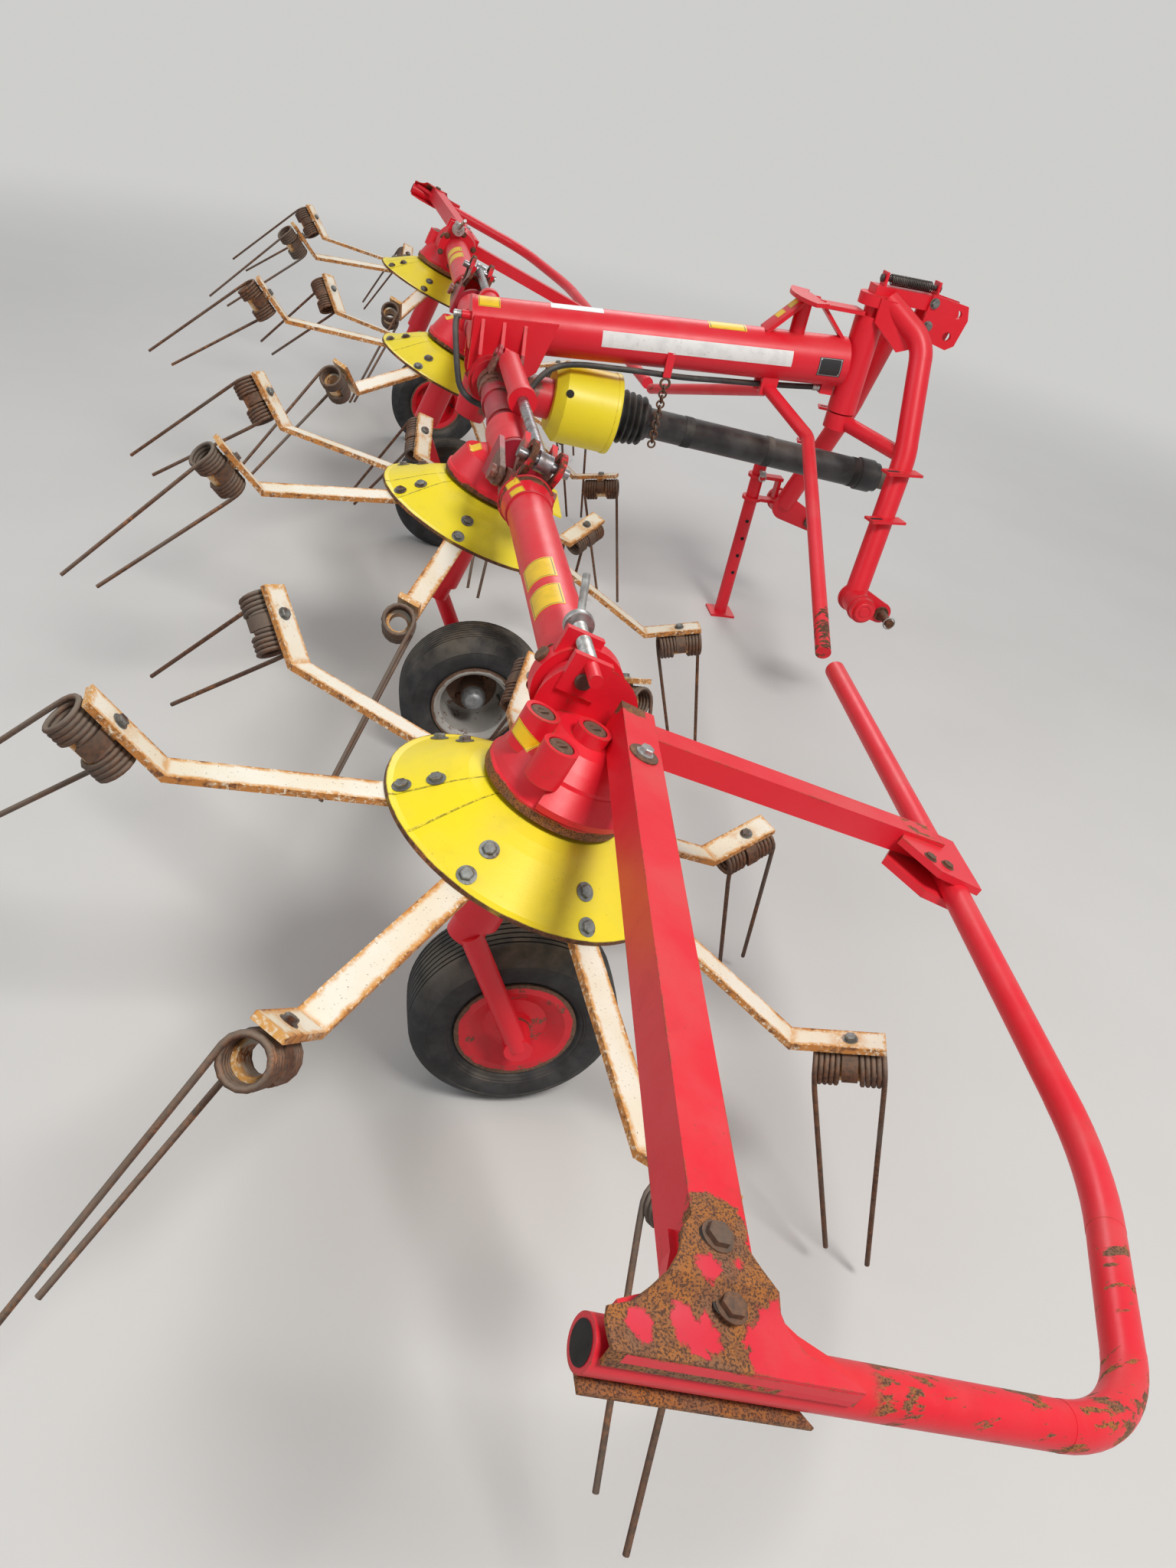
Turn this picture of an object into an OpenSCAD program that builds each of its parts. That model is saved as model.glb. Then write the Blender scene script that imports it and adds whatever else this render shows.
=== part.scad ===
/* [Rotor row] */
// Forward position of the rotor row
row_x = -238; // [-300:1:-200]
// Height of the rotor discs above the ground
row_z = 700; // [690:5:720]
// Forward tilt of the rotor axes
tilt = 18; // [16:0.5:20]
// Distance between neighbouring rotor axes
pitch = 1400; // [1390:5:1430]
// Height of the drive line above the rotor discs
drive_h = 200; // [190:5:215]

/* [Rotor] */
// Radius of the dished disc
disc_r = 258; // [254:1:266]
// Thickness of the disc sheet
disc_t = 6; // [4:0.5:8]
// Radius of the outer bolt circle of the arms
bolt_r = 236; // [230:1:240]
// Radius of the inner bolt circle of the arms
bolt_in_r = 168; // [160:1:172]
// Height of the disc at the inner bolts
bolt_in_h = 46; // [40:1:50]
// Radius of the fixed post that the rotor turns on
post_r = 45; // [40:1:48]
// Wall of the rotor hub round the post
hub_wall = 19; // [14:1:24]
// Running clearance of hubs on their posts
run = 0.05; // [0.03:0.01:0.08]

/* [Arms] */
// Arms on each rotor
arm_n = 7; // [5:1:8]
// Width of the flat bar of an arm
arm_w = 50; // [44:1:56]
// Thickness of the flat bar
arm_t = 12; // [10:0.5:14]
// Radius at which an arm bends upward
arm_bend_r = 576; // [560:2:590]
// Height of the bend below the disc
arm_bend_h = -98; // [-110:1:-90]
// Radius of the arm's end
arm_end_r = 712; // [700:2:720]
// Height of the arm's end
arm_end_h = -12; // [-20:1:-5]
// Turn of the arms on the first and third rotors
phase_a = 30; // [24:1:36]
// Turn of the arms on the second and fourth rotors
phase_b = 48; // [42:1:54]

/* [Tines] */
// Thickness of the spring wire
wire = 9.5; // [8:0.5:10.5]
// Inner radius of a coil
coil_in_r = 27; // [25:0.5:29]
// Turns in each coil
coil_n = 5; // [3:1:5]
// Distance between the two coils of a tine
coil_gap = 79; // [74:1:84]
// Drop of the coils below the end of the arm
coil_drop = 48; // [46:1:54]
// Radius of the tip of the outer leg
tip_out_r = 948; // [930:2:960]
// Radius of the tip of the inner leg
tip_in_r = 866; // [850:2:880]
// Height of the tips of the legs
tip_h = -408; // [-415:1:-390]
// Lag of the tips behind the arm
tip_lag = 22; // [10:1:30]

/* [Wheels] */
// Radius of the tyre
tyre_r = 205; // [200:1:210]
// Width of the tyre
tyre_w = 162; // [150:1:170]
// Radius of the rim flange
rim_r = 116; // [112:1:120]
// Forward distance from the rotor row to the wheel hubs
wheel_x = 55; // [40:1:70]
// Sideways distance from the rotor axis to the wheel centre
wheel_side = 88; // [86:1:100]
// Radius of the wheel axle
axle_r = 15; // [12:0.5:18]

/* [Main beam] */
// Radius of the main beam
beam_r = 75; // [68:1:80]
// Height of the beam's axis over the rotor row
beam_z = 1027; // [1020:1:1035]
// Rise of the beam's axis toward the front
beam_rise = 3.4; // [2:0.1:4.5]
// Forward distance from the rotor row to the headstock pivot
pivot_x = 1205; // [1195:1:1215]
// Thickness of the side plates
plate_t = 12; // [8:1:14]

/* [Wing hinge] */
// Distance from the middle to a wing hinge
hinge_y = 985; // [980:1:995]
// Radius of the hinge pin
hinge_pin_r = 14; // [12:1:16]
// Radius of a hinge eye
hinge_eye_r = 26; // [24:1:28]
// Radius of the wing tube
tube_r = 50; // [46:1:54]
// Outward distance from the hinge to the ram pin
fork_out = 80; // [76:1:84]
// Height of the ram pin over the hinge
fork_up = 92; // [88:1:96]
// Radius of the ram pin
fork_pin_r = 12; // [10:1:13]
// Distance from the middle to a ram's rear pin
ram_y = 170; // [160:1:180]
// Radius of a ram barrel
barrel_r = 32; // [28:1:36]
// Radius of a ram rod
rod_r = 15; // [13:1:17]

/* [Guards] */
// Radius of the guard tube
guard_r = 24; // [20:1:26]
// Outward distance from the rotor axis to the guard tube
guard_out = 1055; // [1040:5:1070]
// Side of the square guard arm
guard_arm = 60; // [50:1:66]
// Radius of the inner guard bars
bar_r = 20; // [17:1:22]

/* [Headstock] */
// Half of the distance between the lower hitch pins
hitch_half = 439; // [430:1:450]
// Forward distance from the rotor row to the lower pins
hitch_x = 1380; // [1370:1:1390]
// Height of the lower pins
hitch_z = 432; // [420:1:440]
// Radius of a lower pin
hitch_pin_r = 14; // [11:0.5:18.5]
// Radius of the bow's tube
bow_r = 35; // [30:1:38]
// Radius of the upper link hole
top_hole_r = 12.5; // [9:0.5:16]
// Radius of the parking stand's tube
stand_r = 24; // [20:1:26]

/* [Drive shaft] */
// Radius of the drive bell
bell_r = 122; // [115:1:126]
// Length of the drive bell
bell_l = 205; // [190:5:220]
// Radius of the shaft's guard tube
shaft_r = 47; // [42:1:50]
// Forward distance from the rotor row to the end of the guard tube
shaft_x = 1400; // [1360:5:1420]

/* [Hidden] */
$fn = 48;
seat = 0.3;
gap = 5;
red = "crimson";
yellow = "gold";

// Rotors from the machine's right to its left: place across, turn of the arms, turning sense,
// side of the wheel's arm seen from the wheel
ROTORS = [
    [-1.5, phase_a, 1, -1],
    [-0.5, phase_b, -1, 1],
    [0.5, phase_a, 1, -1],
    [1.5, phase_b, -1, 1]
];

// Outline of a bent strip of thickness t along the points p
function unit(v) = v / norm(v);
function side(p, i) =
    let (
        a = unit(p[max(i, 1)] - p[max(i, 1) - 1]),
        b = unit(p[min(i, len(p) - 2) + 1] - p[min(i, len(p) - 2)]),
        m = unit([-a[1] - b[1], a[0] + b[0]])
    )
    m / (m * [-a[1], a[0]]);
function strip(p, t) = concat(
    [for (i = [0:len(p) - 1]) p[i] + side(p, i) * t / 2],
    [for (i = [len(p) - 1:-1:0]) p[i] - side(p, i) * t / 2]
);

module in_row() { translate([row_x, 0, row_z]) rotate([0, tilt, 0]) children(); }
module at_rotor(i) { in_row() translate([0, ROTORS[i][0] * pitch, 0]) children(); }
module mirrored(s) { mirror([0, s > 0 ? 1 : 0, 0]) children(); }

// Round bar from a to b
module bar(a, b, r) {
    d = b - a;
    translate(a)
        rotate([0, acos(d[2] / norm(d)), atan2(d[1], d[0])])
        cylinder(r = r, h = norm(d));
}

// Round bar along the points p, bent round the radii b at its inner points
function turn(p, i) = acos(unit(p[i] - p[i - 1]) * unit(p[i + 1] - p[i]));
function cut_back(p, b, i) = i > 0 && i < len(p) - 1 ? b[i - 1] * tan(turn(p, i) / 2) : 0;
module bent_bar(p, b, r) {
    for (i = [0:len(p) - 2]) {
        d = unit(p[i + 1] - p[i]);
        bar(
            p[i] + d * max(cut_back(p, b, i) - 2, 0),
            p[i + 1] - d * max(cut_back(p, b, i + 1) - 2, 0),
            r
        );
    }
    for (i = [1:len(p) - 2]) {
        a = unit(p[i] - p[i - 1]);
        c = unit(p[i + 1] - p[i]);
        n = unit(cross(a, c));
        m = p[i] + unit(c - a) * b[i - 1] / cos(turn(p, i) / 2);
        u = unit(p[i] - a * cut_back(p, b, i) - m);
        multmatrix([
            [u[0], a[0], n[0], m[0]],
            [u[1], a[1], n[1], m[1]],
            [u[2], a[2], n[2], m[2]]
        ]) rotate_extrude(angle = turn(p, i)) translate([b[i - 1], 0]) circle(r = r + 0.4);
    }
}

// Plate of thickness t standing along x, its outline drawn in x and z
module upright(t) { rotate([90, 0, 0]) linear_extrude(t, center = true) children(); }

// Cylinder along x or y, centred
module across(r, l) { rotate([90, 0, 0]) cylinder(r = r, h = l, center = true); }
module along(r, l) { rotate([0, 90, 0]) cylinder(r = r, h = l, center = true); }

// ---- Rotor ----
hub_r = post_r + hub_wall;
disc_top = 70;
disc_in_r = 122;
arm_slope = atan(bolt_in_h / (bolt_r - bolt_in_r));
arm_under = (disc_t + arm_t / 2 + seat) / cos(arm_slope);

function disc_h(r) = (bolt_r - r) * tan(arm_slope);

module disc(i) {
    color(yellow) at_rotor(i) rotate_extrude() polygon([
        [post_r + run, disc_top], [disc_in_r, disc_top], [145, disc_h(145) - 2],
        [bolt_in_r, bolt_in_h], [bolt_r, 0], [disc_r - 12, -6.8], [disc_r, -10],
        [disc_r, -11 - disc_t], [disc_r - 12, -6.8 - disc_t * 1.2], [bolt_r, -disc_t * 1.2],
        [bolt_in_r, bolt_in_h - disc_t * 1.2], [145, disc_h(145) - 2 - disc_t * 1.2],
        [disc_in_r - 4, disc_top - 10], [hub_r, disc_top - 14], [hub_r, -40], [post_r + run, -40]
    ]);
}

arm_path = [
    [bolt_in_r - 12, disc_h(bolt_in_r - 12) - arm_under - 1.8],
    [bolt_r + 8, disc_h(bolt_r + 8) - arm_under - 1],
    [arm_bend_r, arm_bend_h],
    [arm_end_r, arm_end_h]
];
end_angle = atan2(arm_end_h - arm_bend_h, arm_end_r - arm_bend_r);
end_mid = arm_path[3] - [cos(end_angle), sin(end_angle)] * (coil_gap * 0.6 + 12);
coil_mid = end_mid + [sin(end_angle), -cos(end_angle)] * coil_drop;
coil_r = coil_in_r + wire;
coil_l = coil_n * wire;

// One arm with the holder that its spring tine hangs on
module arm() {
    rotate([90, 0, 0])
        linear_extrude(arm_w, center = true)
        polygon(strip(arm_path, arm_t));
    // Saddle between the coils, reaching a little way into each of them
    translate([coil_mid[0], 0, coil_mid[1]]) rotate([0, -end_angle, 0]) {
        difference() {
            along(coil_in_r - seat, coil_gap - coil_l + 18);
            along(coil_in_r - seat - 7, coil_gap);
        }
        translate([-13, -16, coil_in_r - 5])
            cube([26, 32, coil_drop - coil_in_r + 5 - arm_t / 2 + 1]);
    }
}

module arms(i) {
    color("ivory") at_rotor(i)
        for (k = [0:arm_n - 1]) rotate(ROTORS[i][1] + k * 360 / arm_n) arm();
}

// One coil as rings stacked along x
module coil() {
    rotate([0, 90, 0]) translate([0, 0, -coil_l / 2]) rotate_extrude()
        polygon(concat(
            [[coil_in_r, 0]],
            [for (k = [0:coil_n - 1], q = [0, 1]) [coil_r - (q == 0 ? 2.5 : 0), (k + q / 2) * wire]],
            [[coil_r - 2.5, coil_l], [coil_in_r, coil_l]]
        ));
}

// Double spring tine: its legs trail on the side away from the turning sense
module tine(sense) {
    across_leg = -sense * (coil_r - wire / 2);
    translate([coil_mid[0], 0, coil_mid[1]]) rotate([0, -end_angle, 0]) {
        for (s = [-1, 1]) translate([s * coil_gap / 2, 0, 0]) coil();
        translate([0, sense * (coil_r - wire / 2), 0]) along(wire / 2, coil_gap - coil_l + 4);
    }
    for (s = [-1, 1]) {
        p = coil_mid + [cos(end_angle), sin(end_angle)] * s * (coil_gap + coil_l - wire) / 2;
        q = [s > 0 ? tip_out_r : tip_in_r, tip_h - (s > 0 ? 0 : 12)];
        bar([p[0], across_leg, p[1]], [q[0], -sense * tip_lag - sense * coil_r / 2, q[1]], wire / 2);
    }
}

module tines(i) {
    color("saddlebrown") at_rotor(i)
        for (k = [0:arm_n - 1]) rotate(ROTORS[i][1] + k * 360 / arm_n)
            tine(ROTORS[i][2], $fn = 16);
}

// ---- Wheels ----
wheel_z = tyre_r;
hub_in = wheel_side - 21;
hub_out = 12;

module at_wheel(i) {
    translate([row_x + wheel_x, ROTORS[i][0] * pitch - ROTORS[i][3] * wheel_side, wheel_z]) children();
}

module tyre(i) {
    w = tyre_w / 2;
    color("dimgray") at_wheel(i) rotate([90, 0, 0]) rotate_extrude() polygon([
        [rim_r - 12, -w + 26], [rim_r + 8, -w + 14], [150, -w], [172, -w + 4], [tyre_r - 8, -w + 22],
        [tyre_r - 1, -w + 34], [tyre_r - 1, -46], [tyre_r - 7, -44], [tyre_r - 7, -40], [tyre_r, -38],
        [tyre_r, -17], [tyre_r - 7, -15], [tyre_r - 7, -11], [tyre_r, -9],
        [tyre_r, 9], [tyre_r - 7, 11], [tyre_r - 7, 15], [tyre_r, 17],
        [tyre_r, 38], [tyre_r - 7, 40], [tyre_r - 7, 44], [tyre_r - 1, 46], [tyre_r - 1, w - 34],
        [tyre_r - 8, w - 22], [172, w - 4], [150, w], [rim_r + 8, w - 14], [rim_r - 12, w - 26]
    ]);
}

module rim(i) {
    w = tyre_w / 2;
    bore = axle_r + run;
    well = rim_r - 22;
    color(red) at_wheel(i) rotate([ROTORS[i][3] > 0 ? 90 : -90, 0, 0]) rotate_extrude() polygon([
        [bore, -hub_in], [34, -hub_in], [34, -56], [62, -50], [well + 2, 11 - w],
        [rim_r + 2, 11 - w], [rim_r + 2, 16.8 - w], [rim_r - 12 - seat, 25.5 - w],
        [rim_r - 12 - seat, w - 25.5], [rim_r + 2, w - 16.8], [rim_r + 2, w - 11], [rim_r - 10, w - 11],
        [well, w - 25], [well, -52], [62, -42], [34, -48], [34, hub_out], [bore, hub_out]
    ]);
}

// Bent leg from the foot of a rotor post down to the wheel's axle
module wheel_leg(i) {
    s = ROTORS[i][3];
    y = ROTORS[i][0] * pitch;
    foot = [row_x - 235 * sin(tilt), y + s * 20, row_z - 235 * cos(tilt)];
    axle = [row_x + wheel_x, y + s * 20, wheel_z];
    bar(foot, axle, 21);
    translate([axle[0], y - s * (wheel_side + hub_out + seat) / 2, wheel_z])
        across(axle_r, wheel_side + hub_out + seat);
    translate([axle[0], y - s * (wheel_side + hub_out + seat + 4), wheel_z]) across(26, 8);
    translate([axle[0], y + s * 8, wheel_z]) across(27, 56);
    at_rotor(i) translate([0, 0, -255]) cylinder(r = 34, h = 60);
}

module post(i) {
    at_rotor(i) translate([0, 0, -210]) cylinder(r = post_r, h = 300);
}

// ---- Frame ----
module beam_place() { translate([row_x, 0, beam_z]) rotate([0, -beam_rise, 0]) children(); }
box_x = -15;
beam_l = pivot_x - 45;
stay_t = 10;
stay_x = pivot_x - 220;
rail_z = 1258;
joint_x = pivot_x - 75;
function beam_at(x) = beam_z + (x) * tan(beam_rise);

drive_x = drive_h * sin(tilt);
drive_z = row_z + drive_h * cos(tilt);
plate_y = beam_r - 4;
module main_beam() color(red) {
    beam_place() difference() {
        translate([box_x, 0, 0]) rotate([0, 90, 0]) cylinder(r = beam_r, h = beam_l - box_x);
        translate([box_x + 8, 0, 0]) rotate([0, 90, 0]) cylinder(r = beam_r - 7, h = beam_l - box_x - 60);
    }
    beam_place() translate([box_x, 0, 0]) along(beam_r + 2, 8);
    // Side plates that sit on the necks of the centre gearbox
    for (s = [-1, 1]) translate([row_x, s * (plate_y + plate_t / 2), 0])
        upright(plate_t) difference() {
            polygon([
                [box_x, beam_z - 120], [box_x, beam_at(0) + 34], [235, beam_at(235) + 34],
                [190, beam_z - 98], [150, beam_z - 130], [20, beam_z - 150]
            ]);
            translate([drive_x, drive_z]) circle(r = gear_r + seat);
        }
    // Gussets outside the side plates
    for (s = [-1, 1], x = [12, 75, 138]) mirrored(s) translate([row_x + x, -plate_y - plate_t + 1, 0])
        rotate([90, 0, 90]) linear_extrude(10, center = true)
        polygon([[0, drive_z + gear_r + 12], [-42, drive_z + gear_r + 12], [0, beam_z + 32]]);
    // Pivot tube of the headstock
    translate([row_x + pivot_x, 0, 945]) difference() {
        cylinder(r = 46, h = 300);
        translate([0, 0, -1]) cylinder(r = 25 + run, h = 302);
    }
    // Stay plate with the curved rail on top
    for (s = [-1, 1]) translate([row_x, s * 28, 0]) upright(stay_t)
        polygon(strip([
            [stay_x - 105, beam_at(stay_x - 105) + 66], [stay_x + 5, rail_z + 4], [stay_x + 55, rail_z + 4]
        ], stay_t));
    translate([row_x + stay_x, 0, 0])
        bar([0, 0, beam_at(stay_x)], [0, 0, rail_z + 4], 24);
    translate([row_x, 0, 0]) upright(40)
        polygon(strip([[stay_x + 45, rail_z + 4], [stay_x + 155, beam_at(stay_x + 135) + 66]], stay_t));
    translate([row_x + pivot_x, 0, rail_z]) linear_extrude(12) difference() {
        intersection() {
            circle(r = 262);
            polygon([[0, 0], [-300, -170], [-300, 170]]);
        }
        circle(r = 205);
    }
    translate([row_x + stay_x - 30, -50, rail_z]) cube([60, 100, 12]);
    translate([row_x + stay_x + 25, -40, rail_z - 12]) cube([160, 80, 12 + seat]);
    // Lug of the chain
    translate([row_x + chain_x - 12, -chain_y - 5, chain_z]) cube([24, 10, 74]);
    // Fittings of the hose
    translate([row_x + box_x - 18, -40, 1050]) along(13, 32);
    translate([row_x + joint_x, 0, beam_at(joint_x) - beam_r - 6]) cube([40, 30, 44], center = true);
}

gear_r = 63;
neck_r = 61;
module centre_gearbox() color(red) {
    in_row() translate([0, 0, drive_h]) {
        across(gear_r, 220);
        for (s = [-1, 1]) translate([0, s * (plate_y + plate_t + 8), 0]) across(gear_r + 10, 14);
    }
    in_row() translate([0, 0, drive_h - 150]) cylinder(r1 = 46, r2 = 66, h = 110);
    on_shaft(40) cylinder(r = neck_r, h = bell_x - 35);
    on_shaft(bell_x + 2) cylinder(r = 30 - seat, h = bellows_x + 10 - bell_x - 2);
}

// Tubes between the centre and the inner gearboxes, with collars and hinge ears
module cross_tubes() color(red) in_row() for (s = [-1, 1]) mirrored(s) {
    translate([0, -(110 + pitch / 2 - 100) / 2, drive_h]) across(44, pitch / 2 - 100 - 110);
    for (y = [150, 215, 330, 520]) translate([0, -y, drive_h]) across(49, 34);
    translate([0, -pitch / 2 - 114 - seat, drive_h]) across(46, 28);
    translate([0, -pitch / 2 - 134, drive_h]) across(64, 16);
    // Hinge ears
    for (e = [-1, 1]) translate([e * 62, 0, 0]) rotate([90, 0, 90]) linear_extrude(14, center = true)
        difference() {
            union() {
                polygon([
                    [-pitch / 2 - 134, drive_h + 50], [-hinge_y, drive_h + hinge_eye_r],
                    [-hinge_y, drive_h - hinge_eye_r], [-pitch / 2 - 134, drive_h - 50]
                ]);
                translate([-hinge_y, drive_h]) circle(r = hinge_eye_r);
            }
            translate([-hinge_y, drive_h]) circle(r = hinge_pin_r + run);
        }
    // Rear ears of the ram
    for (e = [-1, 1]) translate([e * 34, 0, 0]) rotate([90, 0, 90]) linear_extrude(10, center = true)
        difference() {
            union() {
                polygon([
                    [-ram_y - 40, drive_h + 40], [-ram_y - 26, ram_h],
                    [-ram_y + 26, ram_h], [-ram_y + 34, drive_h + 40]
                ]);
                translate([-ram_y, ram_h]) circle(r = 26);
            }
            translate([-ram_y, ram_h]) circle(r = fork_pin_r + run);
        }
    translate([0, -ram_y - 3, drive_h + 42]) cube([78, 74, 16], center = true);
    translate([0, -ram_y, ram_h]) along(fork_pin_r, 90);
}
ram_h = drive_h + fork_up;

// Bell-shaped gearbox housing over a rotor
module housing(top) {
    rotate_extrude() polygon([
        [0, disc_top + 10], [126, disc_top + 10], [126, disc_top + 28], [121, disc_top + 32],
        [117, disc_top + 46], [104, drive_h - 46], [90, drive_h + top - 30], [70, drive_h + top - 10],
        [52, drive_h + top], [0, drive_h + top]
    ]);
}

module inner_gearboxes() color(red) for (i = [1, 2]) {
    at_rotor(i) {
        housing(-20);
        translate([-30, 0, disc_top + 12]) cylinder(r1 = 84, r2 = 40, h = drive_h - disc_top - 47);
        translate([0, 0, drive_h]) across(58, 200);
    }
    post(i);
    wheel_leg(i);
}

bar_root = [930, -34, 985];
module inner_guard_bars() color(red) for (s = [-1, 1]) mirrored(s) translate([row_x, 0, 0]) {
    bent_bar([bar_root, [1020, -250, 912], [861, 941 - guard_y, 631]], [70], bar_r);
    // Lug under the main beam
    difference() {
        translate([bar_root[0], bar_root[1], bar_root[2] + 12]) cube([52, 16, 66], center = true);
        translate([-row_x, 0, 0]) beam_place() rotate([0, 90, 0]) cylinder(r = beam_r + seat, h = beam_l);
    }
}

module disc_shields() color(yellow) in_row() for (s = [-1, 1]) mirrored(s)
    translate([0, -pitch / 2, disc_top + 35]) linear_extrude(5) difference() {
        polygon([[-4, 90], [-4, 150], [205, 150], [190, -64], [80, -64]]);
        circle(r = 121 + seat);
    }

// ---- Drive shaft ----
shaft_z = drive_z - 34.2;
shaft_drop = 4.4;
bell_x = 258;
bellows_x = bell_x + 142;
bellows_l = 168;
module on_shaft(x) {
    translate([row_x, 0, shaft_z]) rotate([0, 90 + shaft_drop, 0]) translate([0, 0, x]) children();
}

module drive_bell() color(yellow) on_shaft(bell_x) rotate_extrude() polygon([
    [neck_r + seat, 0], [bell_r - 30, 0], [bell_r, 30], [bell_r, bell_l], [bell_r - 5, bell_l],
    [bell_r - 5, 32], [bell_r - 32, 5], [neck_r + seat, 5]
]);

module shaft_guard() color("black") {
    // Ribbed bellows
    on_shaft(bellows_x) rotate_extrude() polygon(concat(
        [[30, 0]],
        [for (k = [0:6], q = [0, 1]) [(q == 0 ? 84 : 96) - k * 3, (k + q / 2) * bellows_l / 7]],
        [[60, bellows_l], [30, bellows_l]]
    ));
    on_shaft(bellows_x + bellows_l) difference() {
        cylinder(r = shaft_r, h = shaft_x - bellows_x - bellows_l);
        translate([0, 0, 90]) cylinder(r = shaft_r - 6, h = shaft_x);
    }
    // Bearing collar at the front end
    on_shaft(shaft_x - 70) difference() {
        cylinder(r = shaft_r + 6, h = 50);
        translate([0, 0, -1]) cylinder(r = 26 + run, h = 60);
    }
}

module shaft_yoke() color("gray") on_shaft(shaft_x - 50) difference() {
    union() {
        cylinder(r = 26, h = 60);
        translate([0, 0, 50]) cylinder(r = 34, h = 60);
    }
    translate([0, 0, 50]) cylinder(r = 17.5, h = 70);
}

// Black hose from the beam's rear end along its underside to the pivot
hose_points = [
    [-49.3, -40, 1050], [-57, -40, 1050], [-66, -50, 1032], [-58, -80, 975], [-48, -104, 915],
    [-34, -124, 858],
    [10, -136, 828], [70, -138, 820], [130, -128, 838], [174, -112, 880], [204, -100, 930],
    [250, -88, 962], [320, -78, 974], [420, -74, 977], [520, -66, 980], [640, -44, 976],
    [760, -20, 980], [900, 0, 986], [joint_x - 120, 0, 996], [joint_x - 32, 0, 1006],
    [joint_x - 20.5, 0, 1006.5]
];
function ring(p, i, r) =
    let (
        a = unit(p[min(i + 1, len(p) - 1)] - p[max(i - 1, 0)]),
        n = unit(cross(a, [0, 0, 1])),
        b = cross(a, n)
    )
    [for (k = [0:7]) p[i] + r * (cos(k * 45) * n + sin(k * 45) * b)];
module hose(p, r) {
    n = len(p);
    polyhedron(
        points = [for (i = [0:n - 1]) each ring(p, i, r)],
        faces = concat(
            [[for (k = [0:7]) k]],
            [for (i = [0:n - 2], k = [0:7])
                [i * 8 + k, (i + 1) * 8 + k, (i + 1) * 8 + (k + 1) % 8, i * 8 + (k + 1) % 8]],
            [[for (k = [7:-1:0]) (n - 1) * 8 + k]]
        )
    );
}
module pressure_hose() color("black") translate([row_x, 0, 0]) hose(hose_points, 9);

chain_x = 590;
chain_y = 72;
chain_z = 976;
module hanging_chain() color("saddlebrown") {
    translate([row_x + chain_x, -chain_y, chain_z - 18.3]) rotate([90, 0, 0]) rotate_extrude($fn = 24)
        translate([14, 0]) circle(r = 4, $fn = 16);
    for (k = [0:11]) translate([row_x + chain_x, -chain_y, chain_z - 36 - k * 15.7])
        rotate([90, 0, k % 2 == 0 ? 90 : 0]) rotate_extrude($fn = 24)
        translate([11, 0]) circle(r = 3, $fn = 16);
}

// ---- Headstock ----
pivot_top = 1276;
boss_x = hitch_x - 113;
boss_z = 473;
bow_path = [
    [pivot_x + 30, -30, pivot_top + 24], [pivot_x + 142, -122, 1215],
    [pivot_x + 140, -262, 900], [boss_x, -hitch_half + 36, boss_z + 7]
];
stand_x = boss_x - 117;
pin_root = hitch_pin_r + 4;
plate_in = 50;

module hitch_plate() {
    upright(10) difference() {
        union() {
            translate([boss_x, boss_z]) circle(r = 46);
            translate([hitch_x, hitch_z]) circle(r = 34);
            polygon([
                [boss_x - 10, boss_z - 45], [boss_x + 13, boss_z + 45],
                [hitch_x + 12, hitch_z + 31], [hitch_x - 4, hitch_z - 34]
            ]);
        }
        translate([hitch_x, hitch_z]) circle(r = pin_root + run);
    }
}

module headstock_bow() color(red) translate([row_x, 0, 0]) {
    for (s = [-1, 1]) mirrored(s) {
        bent_bar(bow_path, [120, 400], bow_r);
        // Strut from the lower pivot to the leg
        bar([pivot_x + 20, -20, 914], bow_path[2], 24);
        translate([pivot_x + 120, -322, 868]) rotate([0, 0, 14]) cube([130, 46, 8], center = true);
        translate([pivot_x + 96, -366, 728]) rotate([0, 0, 14]) cube([130, 46, 8], center = true);
        // Lower hitch bracket
        translate([boss_x, -hitch_half, boss_z]) across(40, 2 * plate_in + 10);
        translate([boss_x, -hitch_half - plate_in - 9, boss_z]) across(32, 10);
        translate([0, -hitch_half + plate_in, 0]) hitch_plate();
    }
    // Swivel pin through the pivot tube with its two heads
    translate([pivot_x, 0, 890]) cylinder(r = 25, h = 420);
    translate([pivot_x, 0, 890]) cylinder(r = 44, h = 55 - gap);
    translate([pivot_x, 0, pivot_top]) cylinder(r = 52, h = 34);
    // Top arm with the two ears of the spring
    translate([pivot_x - 20, -30, pivot_top + 16]) cube([220, 60, 44]);
    for (x = [10, 186]) translate([pivot_x + x, 0, pivot_top + 58]) rotate([90, 0, 90])
        linear_extrude(8, center = true) difference() {
            translate([-20, 0]) square([40, 42]);
            translate([0, 22]) circle(r = 8 + seat);
        }
    // Guide of the parking stand behind the left bracket
    for (z = [boss_z - 3, boss_z + 83]) translate([0, 0, z]) difference() {
        union() {
            translate([stand_x, hitch_half, 0]) cylinder(r = stand_r + 12, h = 12);
            translate([stand_x, hitch_half - 20, 0]) cube([boss_x - 20 - stand_x, 40, 12]);
        }
        translate([stand_x, hitch_half, -1]) cylinder(r = stand_r + run, h = 14);
    }
    translate([boss_x - 32, hitch_half, boss_z + 46]) cube([12, 40, 98], center = true);
}

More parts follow.
